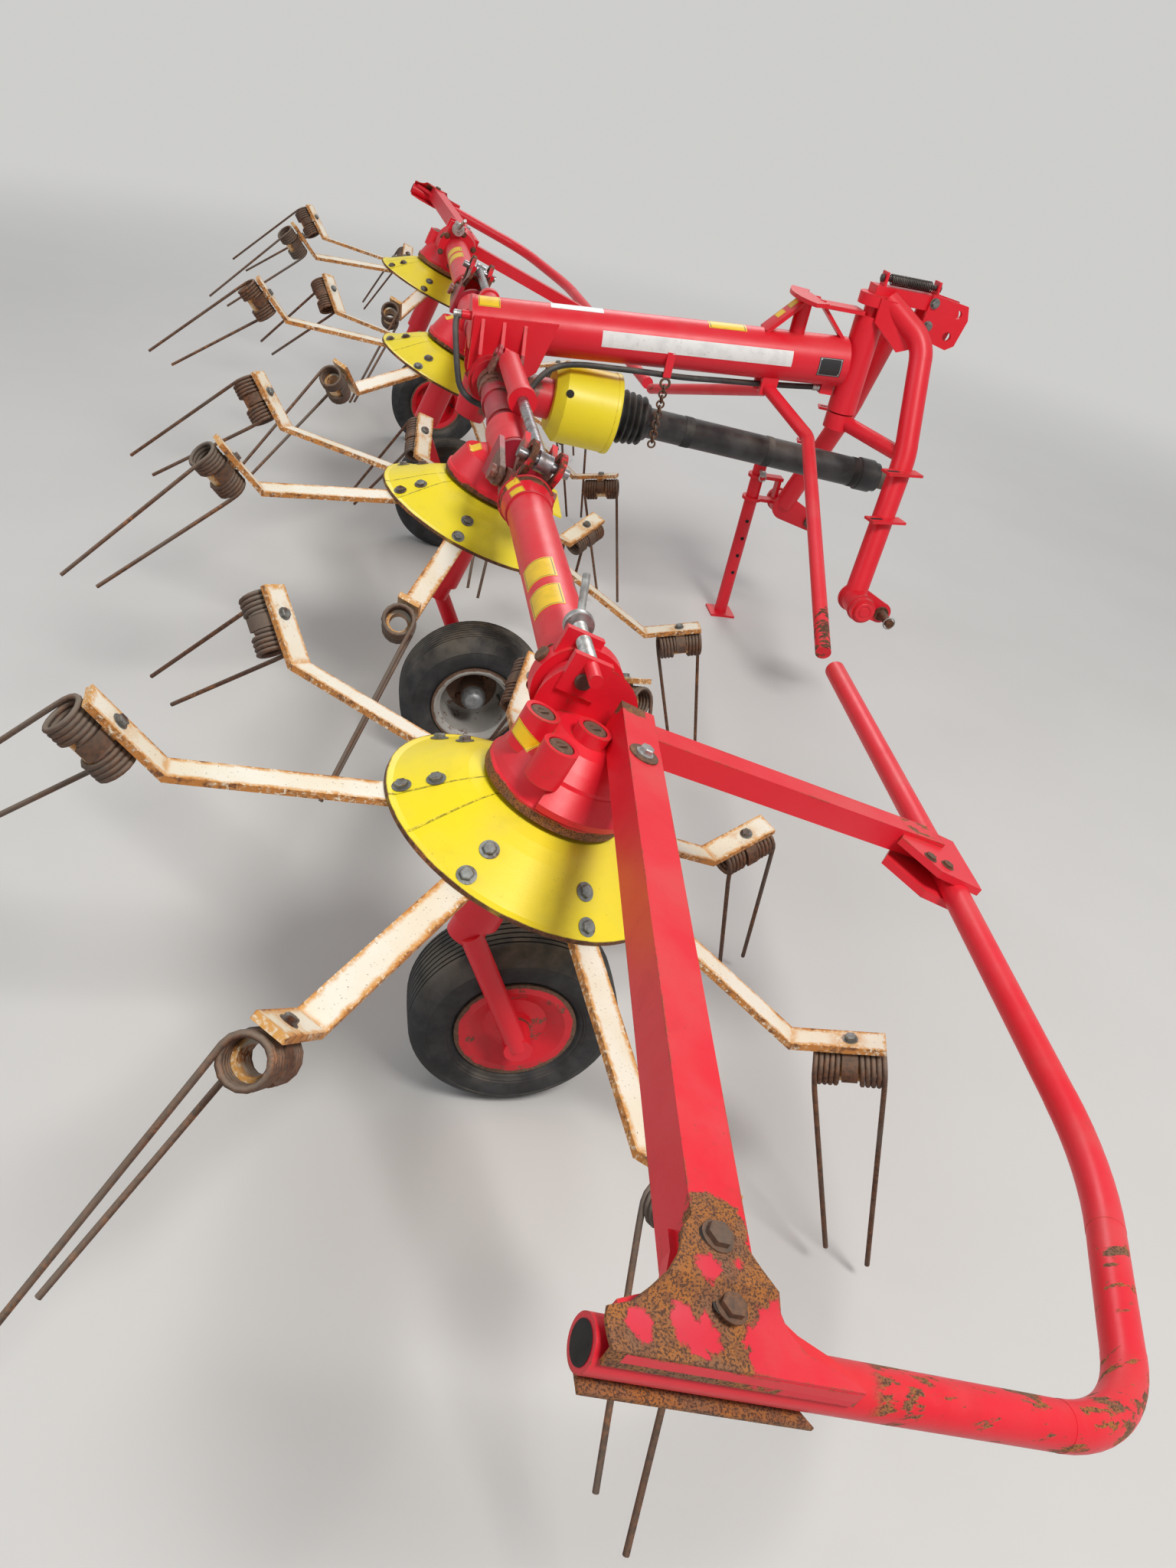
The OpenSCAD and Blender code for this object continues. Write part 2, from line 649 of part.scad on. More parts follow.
module top_link_bracket() color(red) translate([row_x, 0, 0])
    for (s = [-1, 1]) translate([0, s * (30 + plate_t / 2), 0]) upright(plate_t) difference() {
        polygon([
            [pivot_x + 165, pivot_top + 66], [pivot_x + 290, pivot_top + 50],
            [pivot_x + 302, pivot_top + 10], [pivot_x + 284, pivot_top - 70],
            [pivot_x + 258, pivot_top - 86], [pivot_x + 150, pivot_top - 60]
        ]);
        translate([pivot_x + 263, pivot_top + 22]) circle(r = top_hole_r);
        translate([pivot_x + 250, pivot_top - 46]) circle(r = 14);
    }

module hitch_pins() color("gray") translate([row_x, 0, 0])
    for (s = [-1, 1]) mirrored(s) {
        // Free end that takes the ball of a lower link, its root and the collar on each side of the plate
        translate([hitch_x, -hitch_half + 1, hitch_z]) across(hitch_pin_r, 76);
        translate([hitch_x, -hitch_half + plate_in, hitch_z]) across(pin_root, 26);
        translate([hitch_x, -hitch_half + plate_in - 9 - seat, hitch_z]) across(23, 8);
        translate([hitch_x, -hitch_half + plate_in + 11 + seat, hitch_z]) across(23, 12);
    }

module centring_spring() color("dimgray") translate([row_x + pivot_x + 98, 0, pivot_top + 80]) {
    translate([-70, 0, 0]) rotate([0, 90, 0]) rotate_extrude() polygon(concat(
        [[8 + seat, 0]],
        [for (k = [0:13], q = [0, 1]) [q == 0 ? 14 : 17, k * 10 + q * 5]],
        [[14, 140], [8 + seat, 140]]
    ));
    along(8, 196);
    for (s = [-1, 1]) translate([s * 98, 0, 0]) along(12, 6);
}

module parking_stand() color(red) translate([row_x + stand_x, hitch_half, 0]) {
    translate([0, 0, 7]) cylinder(r = stand_r, h = 613);
    linear_extrude(8) square([96, 96], center = true);
}

// ---- Wings ----
lug_t = 14;
fork_l = norm([fork_out, fork_up]);
cuff_y = hinge_y + 104;
cuff_r = 62;
module wing_tube(s) color(red) in_row() mirrored(s) {
    difference() {
        union() {
            translate([0, -cuff_y, drive_h]) rotate([90, 0, 0]) {
                cylinder(r1 = cuff_r, r2 = tube_r, h = 70);
                cylinder(r = tube_r, h = guard_y - cuff_y - 170);
            }
        }
        translate([0, -cuff_y + 1, drive_h]) rotate([90, 0, 0])
            cylinder(r1 = cuff_r - 10, r2 = tube_r - 8, h = 60);
    }
    // Lugs and pin of the hinge
    for (e = [-1, 1]) translate([e * 42, 0, 0]) rotate([90, 0, 90]) linear_extrude(lug_t, center = true)
        union() {
            polygon([
                [-hinge_y, drive_h + hinge_eye_r], [-hinge_y, drive_h - hinge_eye_r],
                [-cuff_y - 4, drive_h - 46], [-cuff_y - 48, drive_h - 12],
                [-cuff_y - 48, drive_h + 12], [-cuff_y - 4, drive_h + 46]
            ]);
            translate([-hinge_y, drive_h]) circle(r = hinge_eye_r);
        }
    translate([0, -hinge_y, drive_h]) along(hinge_pin_r, 160);
    for (e = [-1, 1]) translate([e * 80, -hinge_y, drive_h]) along(20, 10);
    // Fork of the ram, each plate a long eye that lets the pin travel toward the hinge
    for (e = [-1, 1]) translate([e * 36, 0, 0]) rotate([90, 0, 90]) linear_extrude(14, center = true)
        translate([-hinge_y, drive_h]) rotate(atan2(fork_up, -fork_out)) difference() {
            union() {
                translate([fork_l + 4, 0]) circle(r = 38);
                polygon([[44, -44], [fork_l + 4, -38], [fork_l + 4, 38], [74, 46], [44, 16]]);
                polygon([[34, -66], [44, -40], [90, -34], [64, -100]]);
            }
            for (d = [10, -40]) translate([fork_l + d, 0]) circle(r = 20);
            translate([fork_l - 40, -20]) square([50, 40]);
        }
}

module outer_gearbox(i, s) color(red) {
    at_rotor(i) mirror([0, s > 0 ? 1 : 0, 0]) {
        housing(0);
        // Lip on the casting's outer side
        rotate(-118) rotate_extrude(angle = 74) polygon([
            [96, disc_top + 34], [134, disc_top + 34], [136, disc_top + 46],
            [108, drive_h - 52], [96, drive_h - 52]
        ]);
        // Bosses with recesses for their plugs
        for (b = [[-90, -10, 4], [-5, -22, 16], [-66, -88, 0]])
            translate([b[0], b[1], drive_h - 60]) difference() {
                cylinder(r = 30, h = 66 + b[2]);
                translate([0, 0, 60 + b[2]]) cylinder(r = 22, h = 8);
            }
        translate([0, 130, drive_h]) rotate([90, 0, 0]) cylinder(r1 = 66, r2 = 90, h = 70);
        translate([0, 152, drive_h]) across(82, 36);
        // Spindle that sets the spread angle, between two ears
        for (y = [60, 150]) translate([-34, y, drive_h + 62]) cube([70, 14, 70], center = true);
        translate([-34, 102, drive_h + 84]) across(12, 194);
        translate([-34, 203, drive_h + 84]) across(26, 14);
        translate([-34, 200, drive_h + 84]) rotate([0, 60, 90]) cylinder(r = 6, h = 110);
    }
    post(i);
    wheel_leg(i);
}

guard_y = 1.5 * pitch;
module guard(s) color(red) in_row() mirrored(s) {
    // Square arms from the gearbox to the guard tube
    translate([62, -guard_y + 30, drive_h + guard_arm / 2 + seat]) rotate([0, 0, -97])
        translate([0, -guard_arm / 2, -guard_arm / 2]) cube([guard_out - 10, guard_arm, guard_arm]);
    translate([90, -guard_y + 10, drive_h + 16]) rotate([0, 0, 5])
        translate([0, -24, -24]) cube([660, 48, 48]);
    // Guard tube
    bent_bar([
        [-184, -guard_y - guard_out, drive_h], [466, -guard_y - guard_out, drive_h],
        [684, -guard_y - guard_out + 385, drive_h], [768, -guard_y + 40, drive_h],
        [843, -guard_y + 853, drive_h]
    ], [190, 640, 600], guard_r);
    // Plate over the end of the long arm
    translate([0, -guard_y - guard_out, drive_h + guard_r - 6]) linear_extrude(14) polygon([
        [-36, 103], [-18, 62], [-2, 40], [20, 20], [60, 0], [75, -10], [75, -26],
        [-165, -26], [-165, 22], [-128, 36], [-108, 58], [-99, 80], [-96, 103]
    ]);
    // Clamp plates at the front
    for (z = [guard_r - 7, -guard_r - 8]) translate([0, -guard_y, drive_h + z]) linear_extrude(15)
        polygon([[640, 20], [700, 100], [800, 90], [790, -60], [700, -50]]);
}

// ---- Rams ----
rod_full = hinge_y + fork_out - ram_y;
barrel_l = hinge_y - ram_y - 433;
module ram_barrel(s) color(red) in_row() mirrored(s) {
    translate([0, -ram_y, ram_h]) difference() {
        union() {
            along(24, 44);
            rotate([90, 0, 0]) cylinder(r = 21, h = 50);
            translate([0, -42, 0]) rotate([90, 0, 0]) cylinder(r = barrel_r, h = barrel_l);
            translate([0, -barrel_l - 8, 0]) rotate([90, 0, 0]) cylinder(r = barrel_r + 6, h = 34);
        }
        along(fork_pin_r + run, 60);
        translate([0, -56, 0]) rotate([90, 0, 0]) cylinder(r = rod_r + 0.3, h = barrel_l + 118);
    }
}

module ram_rod(s) color("silver") in_row() mirrored(s) {
    translate([0, -ram_y - rod_full, ram_h]) {
        rotate([-90, 0, 0]) cylinder(r = rod_r, h = 640);
        along(24, 34);
        along(fork_pin_r, 130);
    }
}

main_beam();
centre_gearbox();
cross_tubes();
inner_gearboxes();
inner_guard_bars();
drive_bell();
shaft_guard();
shaft_yoke();
disc_shields();
pressure_hose();
hanging_chain();
headstock_bow();
top_link_bracket();
hitch_pins();
centring_spring();
parking_stand();
wing_tube(-1);  // wing_tube_right
wing_tube(1);  // wing_tube_left
outer_gearbox(0, -1);  // outer_gearbox_right
outer_gearbox(3, 1);  // outer_gearbox_left
guard(-1);  // guard_right
guard(1);  // guard_left
ram_barrel(-1);  // ram_barrel_right
ram_barrel(1);  // ram_barrel_left
ram_rod(-1);  // ram_rod_right
ram_rod(1);  // ram_rod_left
disc(0);  // disc_1
disc(1);  // disc_2
disc(2);  // disc_3
disc(3);  // disc_4
arms(0);  // arms_1
arms(1);  // arms_2
arms(2);  // arms_3
arms(3);  // arms_4
tines(0);  // tines_1
tines(1);  // tines_2
tines(2);  // tines_3
tines(3);  // tines_4
tyre(0);  // tyre_1
tyre(1);  // tyre_2
tyre(2);  // tyre_3
tyre(3);  // tyre_4
rim(0);  // rim_1
rim(1);  // rim_2
rim(2);  // rim_3
rim(3);  // rim_4
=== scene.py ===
from functools import reduce
from math import atan2, cos, pi, radians, sin, tan
from operator import or_
import bmesh
import bpy
from mathutils import Matrix, Vector
from mathutils.bvhtree import BVHTree


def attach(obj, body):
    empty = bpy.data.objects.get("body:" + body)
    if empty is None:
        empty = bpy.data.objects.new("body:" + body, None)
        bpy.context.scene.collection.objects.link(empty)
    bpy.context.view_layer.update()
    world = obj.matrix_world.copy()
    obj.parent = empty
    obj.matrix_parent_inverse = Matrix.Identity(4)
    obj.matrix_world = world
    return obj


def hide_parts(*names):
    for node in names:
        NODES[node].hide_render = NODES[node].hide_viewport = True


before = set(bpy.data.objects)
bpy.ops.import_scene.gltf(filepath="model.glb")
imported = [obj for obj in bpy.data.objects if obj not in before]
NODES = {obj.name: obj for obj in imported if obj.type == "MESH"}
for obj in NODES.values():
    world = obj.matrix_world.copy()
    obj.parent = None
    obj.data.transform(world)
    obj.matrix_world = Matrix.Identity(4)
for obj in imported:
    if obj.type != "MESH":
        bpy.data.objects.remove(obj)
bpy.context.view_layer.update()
SCENE = bpy.context.scene

# ---- places
# The row of rotors leans forward by TILT; ROW turns its own frame into the machine's.
ROW_X, ROW_Z, DRIVE_H = -0.238, 0.7, 0.2
TILT = radians(18)
ROW = Matrix.Translation((ROW_X, 0, ROW_Z)) @ Matrix.Rotation(TILT, 4, "Y")
ARMS = 7
# side of the row (m), first arm's angle, turning sense; each wheel stands off the axis toward +y * sense
ROTORS = [dict(n=1, y=-2.1, phase=30, sense=1), dict(n=2, y=-0.7, phase=48, sense=-1),
          dict(n=3, y=0.7, phase=30, sense=1), dict(n=4, y=2.1, phase=48, sense=-1)]
WHEEL_X, WHEEL_SIDE, WHEEL_Z = 0.055, 0.088, 0.205
WINGS = [dict(side="right", s=-1, y=-2.1), dict(side="left", s=1, y=2.1)]
SIDES = (("right", -1), ("left", 1))


def in_row(u, y, h):
    return ROW @ Vector((u, y, h))


def hub_of(r):
    return Vector((ROW_X + WHEEL_X, r["y"] + r["sense"] * WHEEL_SIDE, WHEEL_Z))


def full_turn(count, closed=0):
    """Angles of count even steps; closed adds the first one again at the end."""
    return [2 * pi * k / count for k in range(count + closed)]


def mm(rows):
    """Rows of millimetres, turned into metres."""
    return [tuple(v / 1000 for v in row) for row in rows]


def in_scene(name, data):
    ob = bpy.data.objects.new(name, data)
    SCENE.collection.objects.link(ob)
    return ob


# ---- nodes
def feed(tree, socket, value):
    """Sets a socket to a number, a colour or a vector, or links an output to it."""
    value = getattr(value, "socket", value)
    if isinstance(value, bpy.types.NodeSocket):
        tree.links.new(value, socket)
    elif isinstance(value, tuple) and len(value) == 3 and len(socket.default_value) == 4:
        socket.default_value = (*value, 1)
    else:
        socket.default_value = value


def add_node(tree, kind, given=(), **settings):
    """New node; given says what goes into each input."""
    n = tree.nodes.new(kind)
    for key, value in settings.items():
        setattr(n, key, value)
    for key, value in dict(given).items():
        feed(tree, n.inputs[key], value)
    return n


def result(tree, kind, given=(), **settings):
    """First output of a new node."""
    return add_node(tree, kind, given, **settings).outputs[0]


# ---- camera and lights
FOCAL_PIXELS, FRAME_PIXELS, SENSOR = 1536.4, 2048, 36
BACKDROP = (0.62, 0.615, 0.6)


def set_camera():
    cam = bpy.data.cameras.new("camera")
    cam.sensor_fit = "VERTICAL"
    cam.sensor_height = SENSOR
    cam.lens = FOCAL_PIXELS / FRAME_PIXELS * SENSOR
    cam.clip_end = 100
    right = Vector((0.97064, -0.1435, 0.19306))
    ahead = Vector((0.22653, 0.81528, -0.53292))
    turn = Matrix((right, right.cross(ahead), -ahead)).transposed().to_4x4()
    SCENE.camera = in_scene("camera", cam)
    SCENE.camera.matrix_world = Matrix.Translation((ROW_X - 0.3591, -3.6762, 1.8241)) @ turn


def seen_or_mirrored(tree):
    """1 for what the camera sees straight, in a gloss or through glass."""
    path = add_node(tree, "ShaderNodeLightPath").outputs
    out = path["Is Camera Ray"]
    for other in ("Is Glossy Ray", "Is Transmission Ray"):
        out = result(tree, "ShaderNodeMath", {0: out, 1: path[other]}, operation="MAXIMUM")
    return out


def area_light(name, place, target, size, power, colour=(1, 1, 1)):
    data = bpy.data.lights.new(name, "AREA")
    data.shape = "DISK"
    data.size = size
    data.energy = power
    data.color = colour
    ob = in_scene(name, data)
    ob.location = place
    ob.rotation_euler = (Vector(target) - Vector(place)).to_track_quat("-Z", "Y").to_euler()


def set_lights():
    area_light("key_light", (1.6, -5.2, 6.2), (0, -0.5, 0.4), 2.0, 350, (1, 0.975, 0.94))
    area_light("fill_light", (-5.2, -1.5, 4.2), (0, 0, 0.6), 3.6, 85, (0.93, 0.96, 1))
    area_light("back_light", (1.5, 5.5, 5.0), (0, 0.8, 0.6), 3.0, 140)
    world = bpy.data.worlds.new("studio")
    world.use_nodes = True
    SCENE.world = world
    tree = world.node_tree
    sky = tree.nodes["Background"]
    feed(tree, sky.inputs["Color"], (0.88, 0.89, 0.91))
    feed(tree, sky.inputs["Strength"], 0.38)
    backdrop = result(tree, "ShaderNodeBackground", {"Color": BACKDROP})
    pick = result(tree, "ShaderNodeMixShader", {0: seen_or_mirrored(tree), 1: sky.outputs[0], 2: backdrop})
    feed(tree, tree.nodes["World Output"].inputs["Surface"], pick)


SCENE.view_settings.view_transform = "Standard"
set_camera()
set_lights()


# ---- finishes
class Value:
    """A number in a finish's tree. Sums with it add nodes, and | takes the larger one."""

    def __init__(self, finish, socket):
        self.finish, self.socket = finish, socket

    def __rsub__(self, other):
        return self.finish.math("SUBTRACT", other, self)

    def __abs__(self):
        return self.finish.math("ABSOLUTE", self)


for sign, operation in (("add", "ADD"), ("sub", "SUBTRACT"), ("mul", "MULTIPLY"), ("or", "MAXIMUM")):
    setattr(Value, f"__{sign}__", lambda a, b, operation=operation: a.finish.math(operation, a, b))


class Finish:
    """One procedural material, built up node by node."""

    def __init__(self, name, metallic=0.0, place=None):
        self.material = bpy.data.materials.new(name)
        self.material.use_nodes = True
        self.tree = self.material.node_tree
        self.shader = self.tree.nodes["Principled BSDF"]
        self.put("Metallic", metallic)
        source = self.node("ShaderNodeTexCoord")
        self.object, self.normal = source["Object"], source["Normal"]
        if place is not None:
            given = {"Location": place, "Rotation": (0, TILT, 0), "Vector": self.object}
            self.object = self.node("ShaderNodeMapping", given, vector_type="TEXTURE")["Vector"]

    def node(self, kind, given=(), **settings):
        return add_node(self.tree, kind, given, **settings).outputs

    def put(self, name, value):
        feed(self.tree, self.shader.inputs[name], value)

    def math(self, operation, a, b=0.0):
        return Value(self, self.node("ShaderNodeMath", {0: a, 1: b}, operation=operation)[0])

    def vector(self, operation, a, b=(0, 0, 0)):
        return self.node("ShaderNodeVectorMath", {0: a, 1: b}, operation=operation)

    def noise(self, scale, detail=4, rough=0.55, stretch=None):
        where = self.vector("MULTIPLY", self.object, stretch)["Vector"] if stretch else self.object
        return Value(self, self.node("ShaderNodeTexNoise", {
            "Scale": scale, "Detail": detail, "Roughness": rough, "Vector": where})["Fac"])

    def span(self, value, low, high):
        """0 at low, 1 at high, smooth between."""
        return Value(self, self.node("ShaderNodeMapRange", {"Value": value, "From Min": low, "From Max": high},
                                     interpolation_type="SMOOTHSTEP", clamp=True)["Result"])

    def patches(self, low, high, *noise, **stretch):
        """1 where noise is high, 0 where it is low."""
        return self.span(self.noise(*noise, **stretch), low, high)

    def mix(self, share, a, b):
        """Colour a with a share of b."""
        return self.node("ShaderNodeMix", {"Factor": share, 6: a, 7: b}, data_type="RGBA")[2]

    def blend(self, share, a, b):
        """Number a with a share of b."""
        return Value(self, self.node("ShaderNodeMix", {"Factor": share, 2: a, 3: b}, data_type="FLOAT")[0])

    def edges(self, radius):
        """High on sharp edges."""
        soft = self.node("ShaderNodeBevel", {"Radius": radius}, samples=6)[0]
        flat = self.node("ShaderNodeNewGeometry")["Normal"]
        return 1 - Value(self, self.vector("DOT_PRODUCT", soft, flat)["Value"])

    def part(self, axis, source=None):
        return Value(self, self.node("ShaderNodeSeparateXYZ", {0: source or self.object})["XYZ".index(axis)])

    def upward(self, low, high):
        """1 on faces that look up, 0 on those that look down."""
        return self.span(self.part("Z", self.normal), low, high)

    def near(self, point, inner, outer):
        """1 within inner of a point, 0 beyond outer."""
        return 1 - self.span(self.vector("DISTANCE", self.object, point)["Value"], inner, outer)

    def radius(self, flat, middle=(0, 0, 0)):
        """Distance from a line through middle; flat is 0 along the line and 1 across it."""
        off = self.vector("SUBTRACT", self.object, middle)["Vector"]
        return Value(self, self.vector("LENGTH", self.vector("MULTIPLY", off, flat)["Vector"])["Value"])

    def bump(self, *layers):
        """layers: (height, distance in metres)"""
        below = {}
        for height, distance in layers:
            below = {"Normal": self.node("ShaderNodeBump", {
                "Strength": 1.0, "Distance": distance, "Height": height, **below})[0]}
        self.put("Normal", below["Normal"])

    def finish(self, colour, roughness):
        self.put("Base Color", colour)
        self.put("Roughness", roughness)
        return self.material


RUST_DARK, RUST_BROWN, RUST_ORANGE = (0.055, 0.024, 0.014), (0.16, 0.062, 0.026), (0.42, 0.155, 0.045)
DUST = (0.4, 0.345, 0.27)
RED, RED_FADED, GREASY_RED = (0.72, 0.008, 0.022), (0.74, 0.018, 0.036), (0.5, 0.01, 0.022)
YELLOW, YELLOW_FADED = (0.9, 0.73, 0.006), (0.86, 0.71, 0.03)
CREAM, CREAM_FADED = (0.82, 0.78, 0.66), (0.78, 0.7, 0.53)
EDGE = 0.003
BEND_R, CLAMP_R, TIP_R, ARM_EDGE = 0.576, 0.655, 0.7, 0.0225


def shade(colour, share):
    return tuple(c * share for c in colour)


def speckled_rust(f):
    """Orange-brown plate rust full of small dark pits."""
    c = f.mix(f.patches(0.38, 0.64, 22, 4, 0.6), (0.36, 0.13, 0.03), (0.225, 0.105, 0.055))
    c = f.mix(f.patches(0.48, 0.62, 90, 5) * 0.7, c, (0.19, 0.075, 0.035))
    return f.mix(f.patches(0.49, 0.57, 410, 3, 0.6) * 0.9, c, (0.065, 0.032, 0.022))


def rust_colour(f, fine=90, bias=0.0):
    grain, patch = f.noise(fine, 6, 0.7), f.noise(14, 4, 0.6)
    c = f.mix(f.span(grain, 0.35 - bias, 0.65 - bias), RUST_DARK, RUST_BROWN)
    return f.mix(f.span(patch, 0.48 - bias, 0.7) * f.span(grain, 0.42, 0.72), c, RUST_ORANGE)


def worn_paint(name, colour=RED, faded=RED_FADED, wear=1.0, gloss=0.3, dust=0.1, place=None, rim=None,
               foot=None, bands=(), creases=(), spots=(), left=(), scuffs=(), grease=()):
    """Gloss paint, faded in patches, chipped along edges down to rust, dusty on top.
    rim: radius (m) past which the edge is bare; foot: heights between which the casting is bare;
    bands: (axis, low, high) where rust lies over the paint; creases: angles of pressed lines, darkened with
    painted shade.
    The last four hold (point, inner, outer): spots where rust has broken out, the only places left
    with paint on a rusty plate, scuffs with long scratches, and grease that dust has caked."""
    f = Finish(name, place=place)
    mid, grit = f.noise(16, 5, 0.6), f.noise(120, 6, 0.68)
    uneven = mid * 0.75 + grit * 0.45

    def ragged(mark, push, low, high, core=0.15):
        here = f.near(*mark)
        return f.span(here + (uneven - 0.6) * push, low, high) * f.span(here, 0.0, core)

    paint = f.mix(f.patches(0.36, 0.66, 2.6, 3, 0.5), colour, faded)
    paint = f.mix(f.span(mid, 0.56, 0.72) * 0.22, paint, shade(colour, 0.72))
    bare = f.span(f.edges(EDGE), 0.035, 0.2) * f.span(uneven, 0.66 - 0.1 * wear, 0.74 - 0.06 * wear)
    specks = f.patches(0.66, 0.7, 210, 3, 0.6) * f.span(mid, 0.5, 0.62)
    bare |= specks * min(1.0, 0.8 * wear)
    for mark in spots:
        bare |= ragged(mark, 2.6, 0.42, 0.6)
    if left:
        bare |= 1 - reduce(or_, [ragged(mark, 4.2, 0.4, 0.66) for mark in left])
    if rim:
        bare |= f.span(f.radius((1, 1, 0)) + (mid - 0.5) * 0.006, rim - 0.0015, rim + 0.0015)
    if foot:
        low = f.part("Z") + (mid - 0.5) * 0.03
        bare |= (1 - f.span(low, foot[1] - 0.002, foot[1] + 0.002)) * f.span(low, foot[0], foot[0] + 0.004)
    if scuffs:
        torn = f.noise(9, 3, 0.5) * 0.5 + f.noise(26, 4, 0.6, stretch=(0.55, 2.6, 2.6)) * 0.6
        torn = f.span(torn, 0.585, 0.61)
    for mark in scuffs:
        bare |= torn * f.span(f.near(*mark), 0.1, 0.5)
    for axis, low, high in bands:
        where = f.part(axis) + (mid - 0.5) * ((high - low) * 0.5)
        inside = f.span(where, low, low + 0.006) * (1 - f.span(where, high - 0.006, high))
        bare |= inside * f.span(uneven, 0.5, 0.6)
    layers = [(f.noise(420, 2, 0.5), 0.00008), (1 - bare, 0.00035), (grit, 0.0002)]
    if creases:
        turn = f.math("ARCTAN2", f.part("Y"), f.part("X"))
        lines = reduce(or_, [1 - f.span(abs(turn - (mid * 0.012 + angle)), 0.004, 0.014) for angle in creases])
        # Pressed lines get a bump and a darker copy of the paint: painted shade in the creases
        paint = f.mix(lines * f.span(grit, 0.4, 0.56), paint, shade(colour, 0.35))
        layers.append((1 - lines, 0.0015))
    halo = f.span(f.edges(EDGE * 2.6), 0.015, 0.2) * (f.span(uneven, 0.58, 0.74) * 0.55)
    paint = f.mix(halo * wear, paint, RUST_BROWN)
    paint = f.mix(f.upward(0.2, 0.95) * f.patches(0.38, 0.72, 7, 5, 0.62) * dust, paint, DUST)
    for mark in grease:
        caked = f.mix(f.span(grit, 0.4, 0.6), (0.075, 0.048, 0.032), (0.19, 0.125, 0.08))
        paint = f.mix(ragged(mark, 2.2, 0.35, 0.62, 0.2) * 0.85, paint, caked)
    for key, value in (("Coat Weight", 0.06), ("Coat Roughness", 0.22), ("Specular IOR Level", 0.38)):
        f.put(key, value)
    f.bump(*layers)
    rust = speckled_rust(f) if spots or left else rust_colour(f)
    return f.finish(f.mix(bare, paint, rust), f.blend(bare, mid * 0.22 + gloss, 0.86))


def arm_paint(name, y, phase):
    """Cream paint that rust has lifted along both edges of every flat arm."""
    f = Finish(name, place=(ROW_X, y, ROW_Z))
    px, py = f.part("X"), f.part("Y")
    turn = 2 * pi / ARMS
    angle = f.math("ARCTAN2", py, px) + (2 * pi - radians(phase) + turn / 2)
    folded = f.math("MODULO", angle, turn) - turn / 2
    reach = f.math("POWER", px * px + py * py, 0.5)
    across = abs(reach * f.math("SINE", folded))
    slow, mid, grit = f.noise(7, 3), f.noise(34, 5, 0.62), f.noise(150, 5, 0.65)
    uneven = mid * 0.6 + slow * 0.6
    pushed = across + (uneven - 0.6) * 0.028
    fold = 1 - f.span(abs(reach - BEND_R) + mid * 0.012, 0.006, 0.016)
    tip = f.span(reach + (mid - 0.5) * 0.03, TIP_R, TIP_R + 0.008)
    clamp = (1 - f.span(abs(reach - CLAMP_R), 0.012, 0.034)) * f.span(uneven, 0.52, 0.68)
    under = 1 - f.upward(-0.5, 0.1)
    stain = f.span(pushed, ARM_EDGE - 0.008, ARM_EDGE) | fold * 0.8 | tip | clamp * 0.8 | under * 0.75
    side = 1 - f.span(abs(f.part("Z", f.normal)), 0.2, 0.6)
    bare = f.span(pushed + (grit - 0.5) * 0.01, ARM_EDGE, ARM_EDGE + 0.004) | side * f.span(grit, 0.38, 0.52)
    paint = f.mix(f.span(slow, 0.36, 0.68), CREAM, CREAM_FADED)
    paint = f.mix(f.patches(0.66, 0.7, 260, 3) * 0.8, paint, (0.2, 0.13, 0.08))
    paint = f.mix(stain * f.span(grit, 0.3, 0.52), paint, (0.66, 0.33, 0.085))
    rust = f.mix(f.patches(0.46, 0.64, 60, 5, 0.7), (0.52, 0.205, 0.045), (0.17, 0.068, 0.028))
    f.bump((1 - bare, 0.0006), (grit, 0.0004))
    return f.finish(f.mix(bare, paint, rust), f.blend(bare, 0.48, 0.88))


def rusted_steel(name, tone=1.0, orange=0.0, dusty=0.25, metallic=0.15):
    f = Finish(name, metallic)
    c = rust_colour(f, 110, orange)
    c = f.mix(f.patches(0.4, 0.7, 5, 3), c, shade((0.1, 0.075, 0.06), tone))
    c = f.mix(f.upward(0.1, 0.9) * dusty, c, DUST)
    grain = f.noise(160, 6, 0.7)
    f.bump((grain, 0.0006), (f.noise(28, 4), 0.0008))
    return f.finish(c, f.blend(grain, 0.62, 0.9))


def plated_steel(name, colour, rust=0.35, rough=0.38):
    f = Finish(name, 0.85)
    patch = f.patches(0.46, 0.66, 22, 5, 0.65) * rust
    c = f.mix(f.patches(0.35, 0.7, 70, 5), colour, shade(colour, 0.55))
    f.bump((f.noise(260, 4, 0.6), 0.0002))
    return f.finish(f.mix(patch, c, rust_colour(f, 140)), f.blend(patch, rough, 0.85))


def rim_steel(name, middle, barrel, centre, reach):
    """Wheel rim: painted barrel, rusty brown dish out to reach (m from the axle) and a rusty flange."""
    f = Finish(name)
    mid, grit = f.noise(24, 5, 0.62), f.noise(150, 5, 0.65)
    radius = f.radius((1, 0, 1), middle) + (mid - 0.5) * 0.016
    rusty = (1 - f.span(radius, reach - 0.003, reach + 0.003)) | f.span(radius, 0.1085, 0.1125)
    rusty |= f.span(mid, 0.58, 0.64) * f.span(grit, 0.45, 0.55)
    paint = f.mix(f.patches(0.35, 0.7, 9, 4), barrel, shade(barrel, 0.78))
    brown = f.mix(f.span(grit, 0.4, 0.62), shade(centre, 0.62), centre)
    f.bump((1 - rusty, 0.0004), (grit, 0.0003))
    return f.finish(f.mix(rusty, paint, brown), f.blend(rusty, 0.45, 0.88))


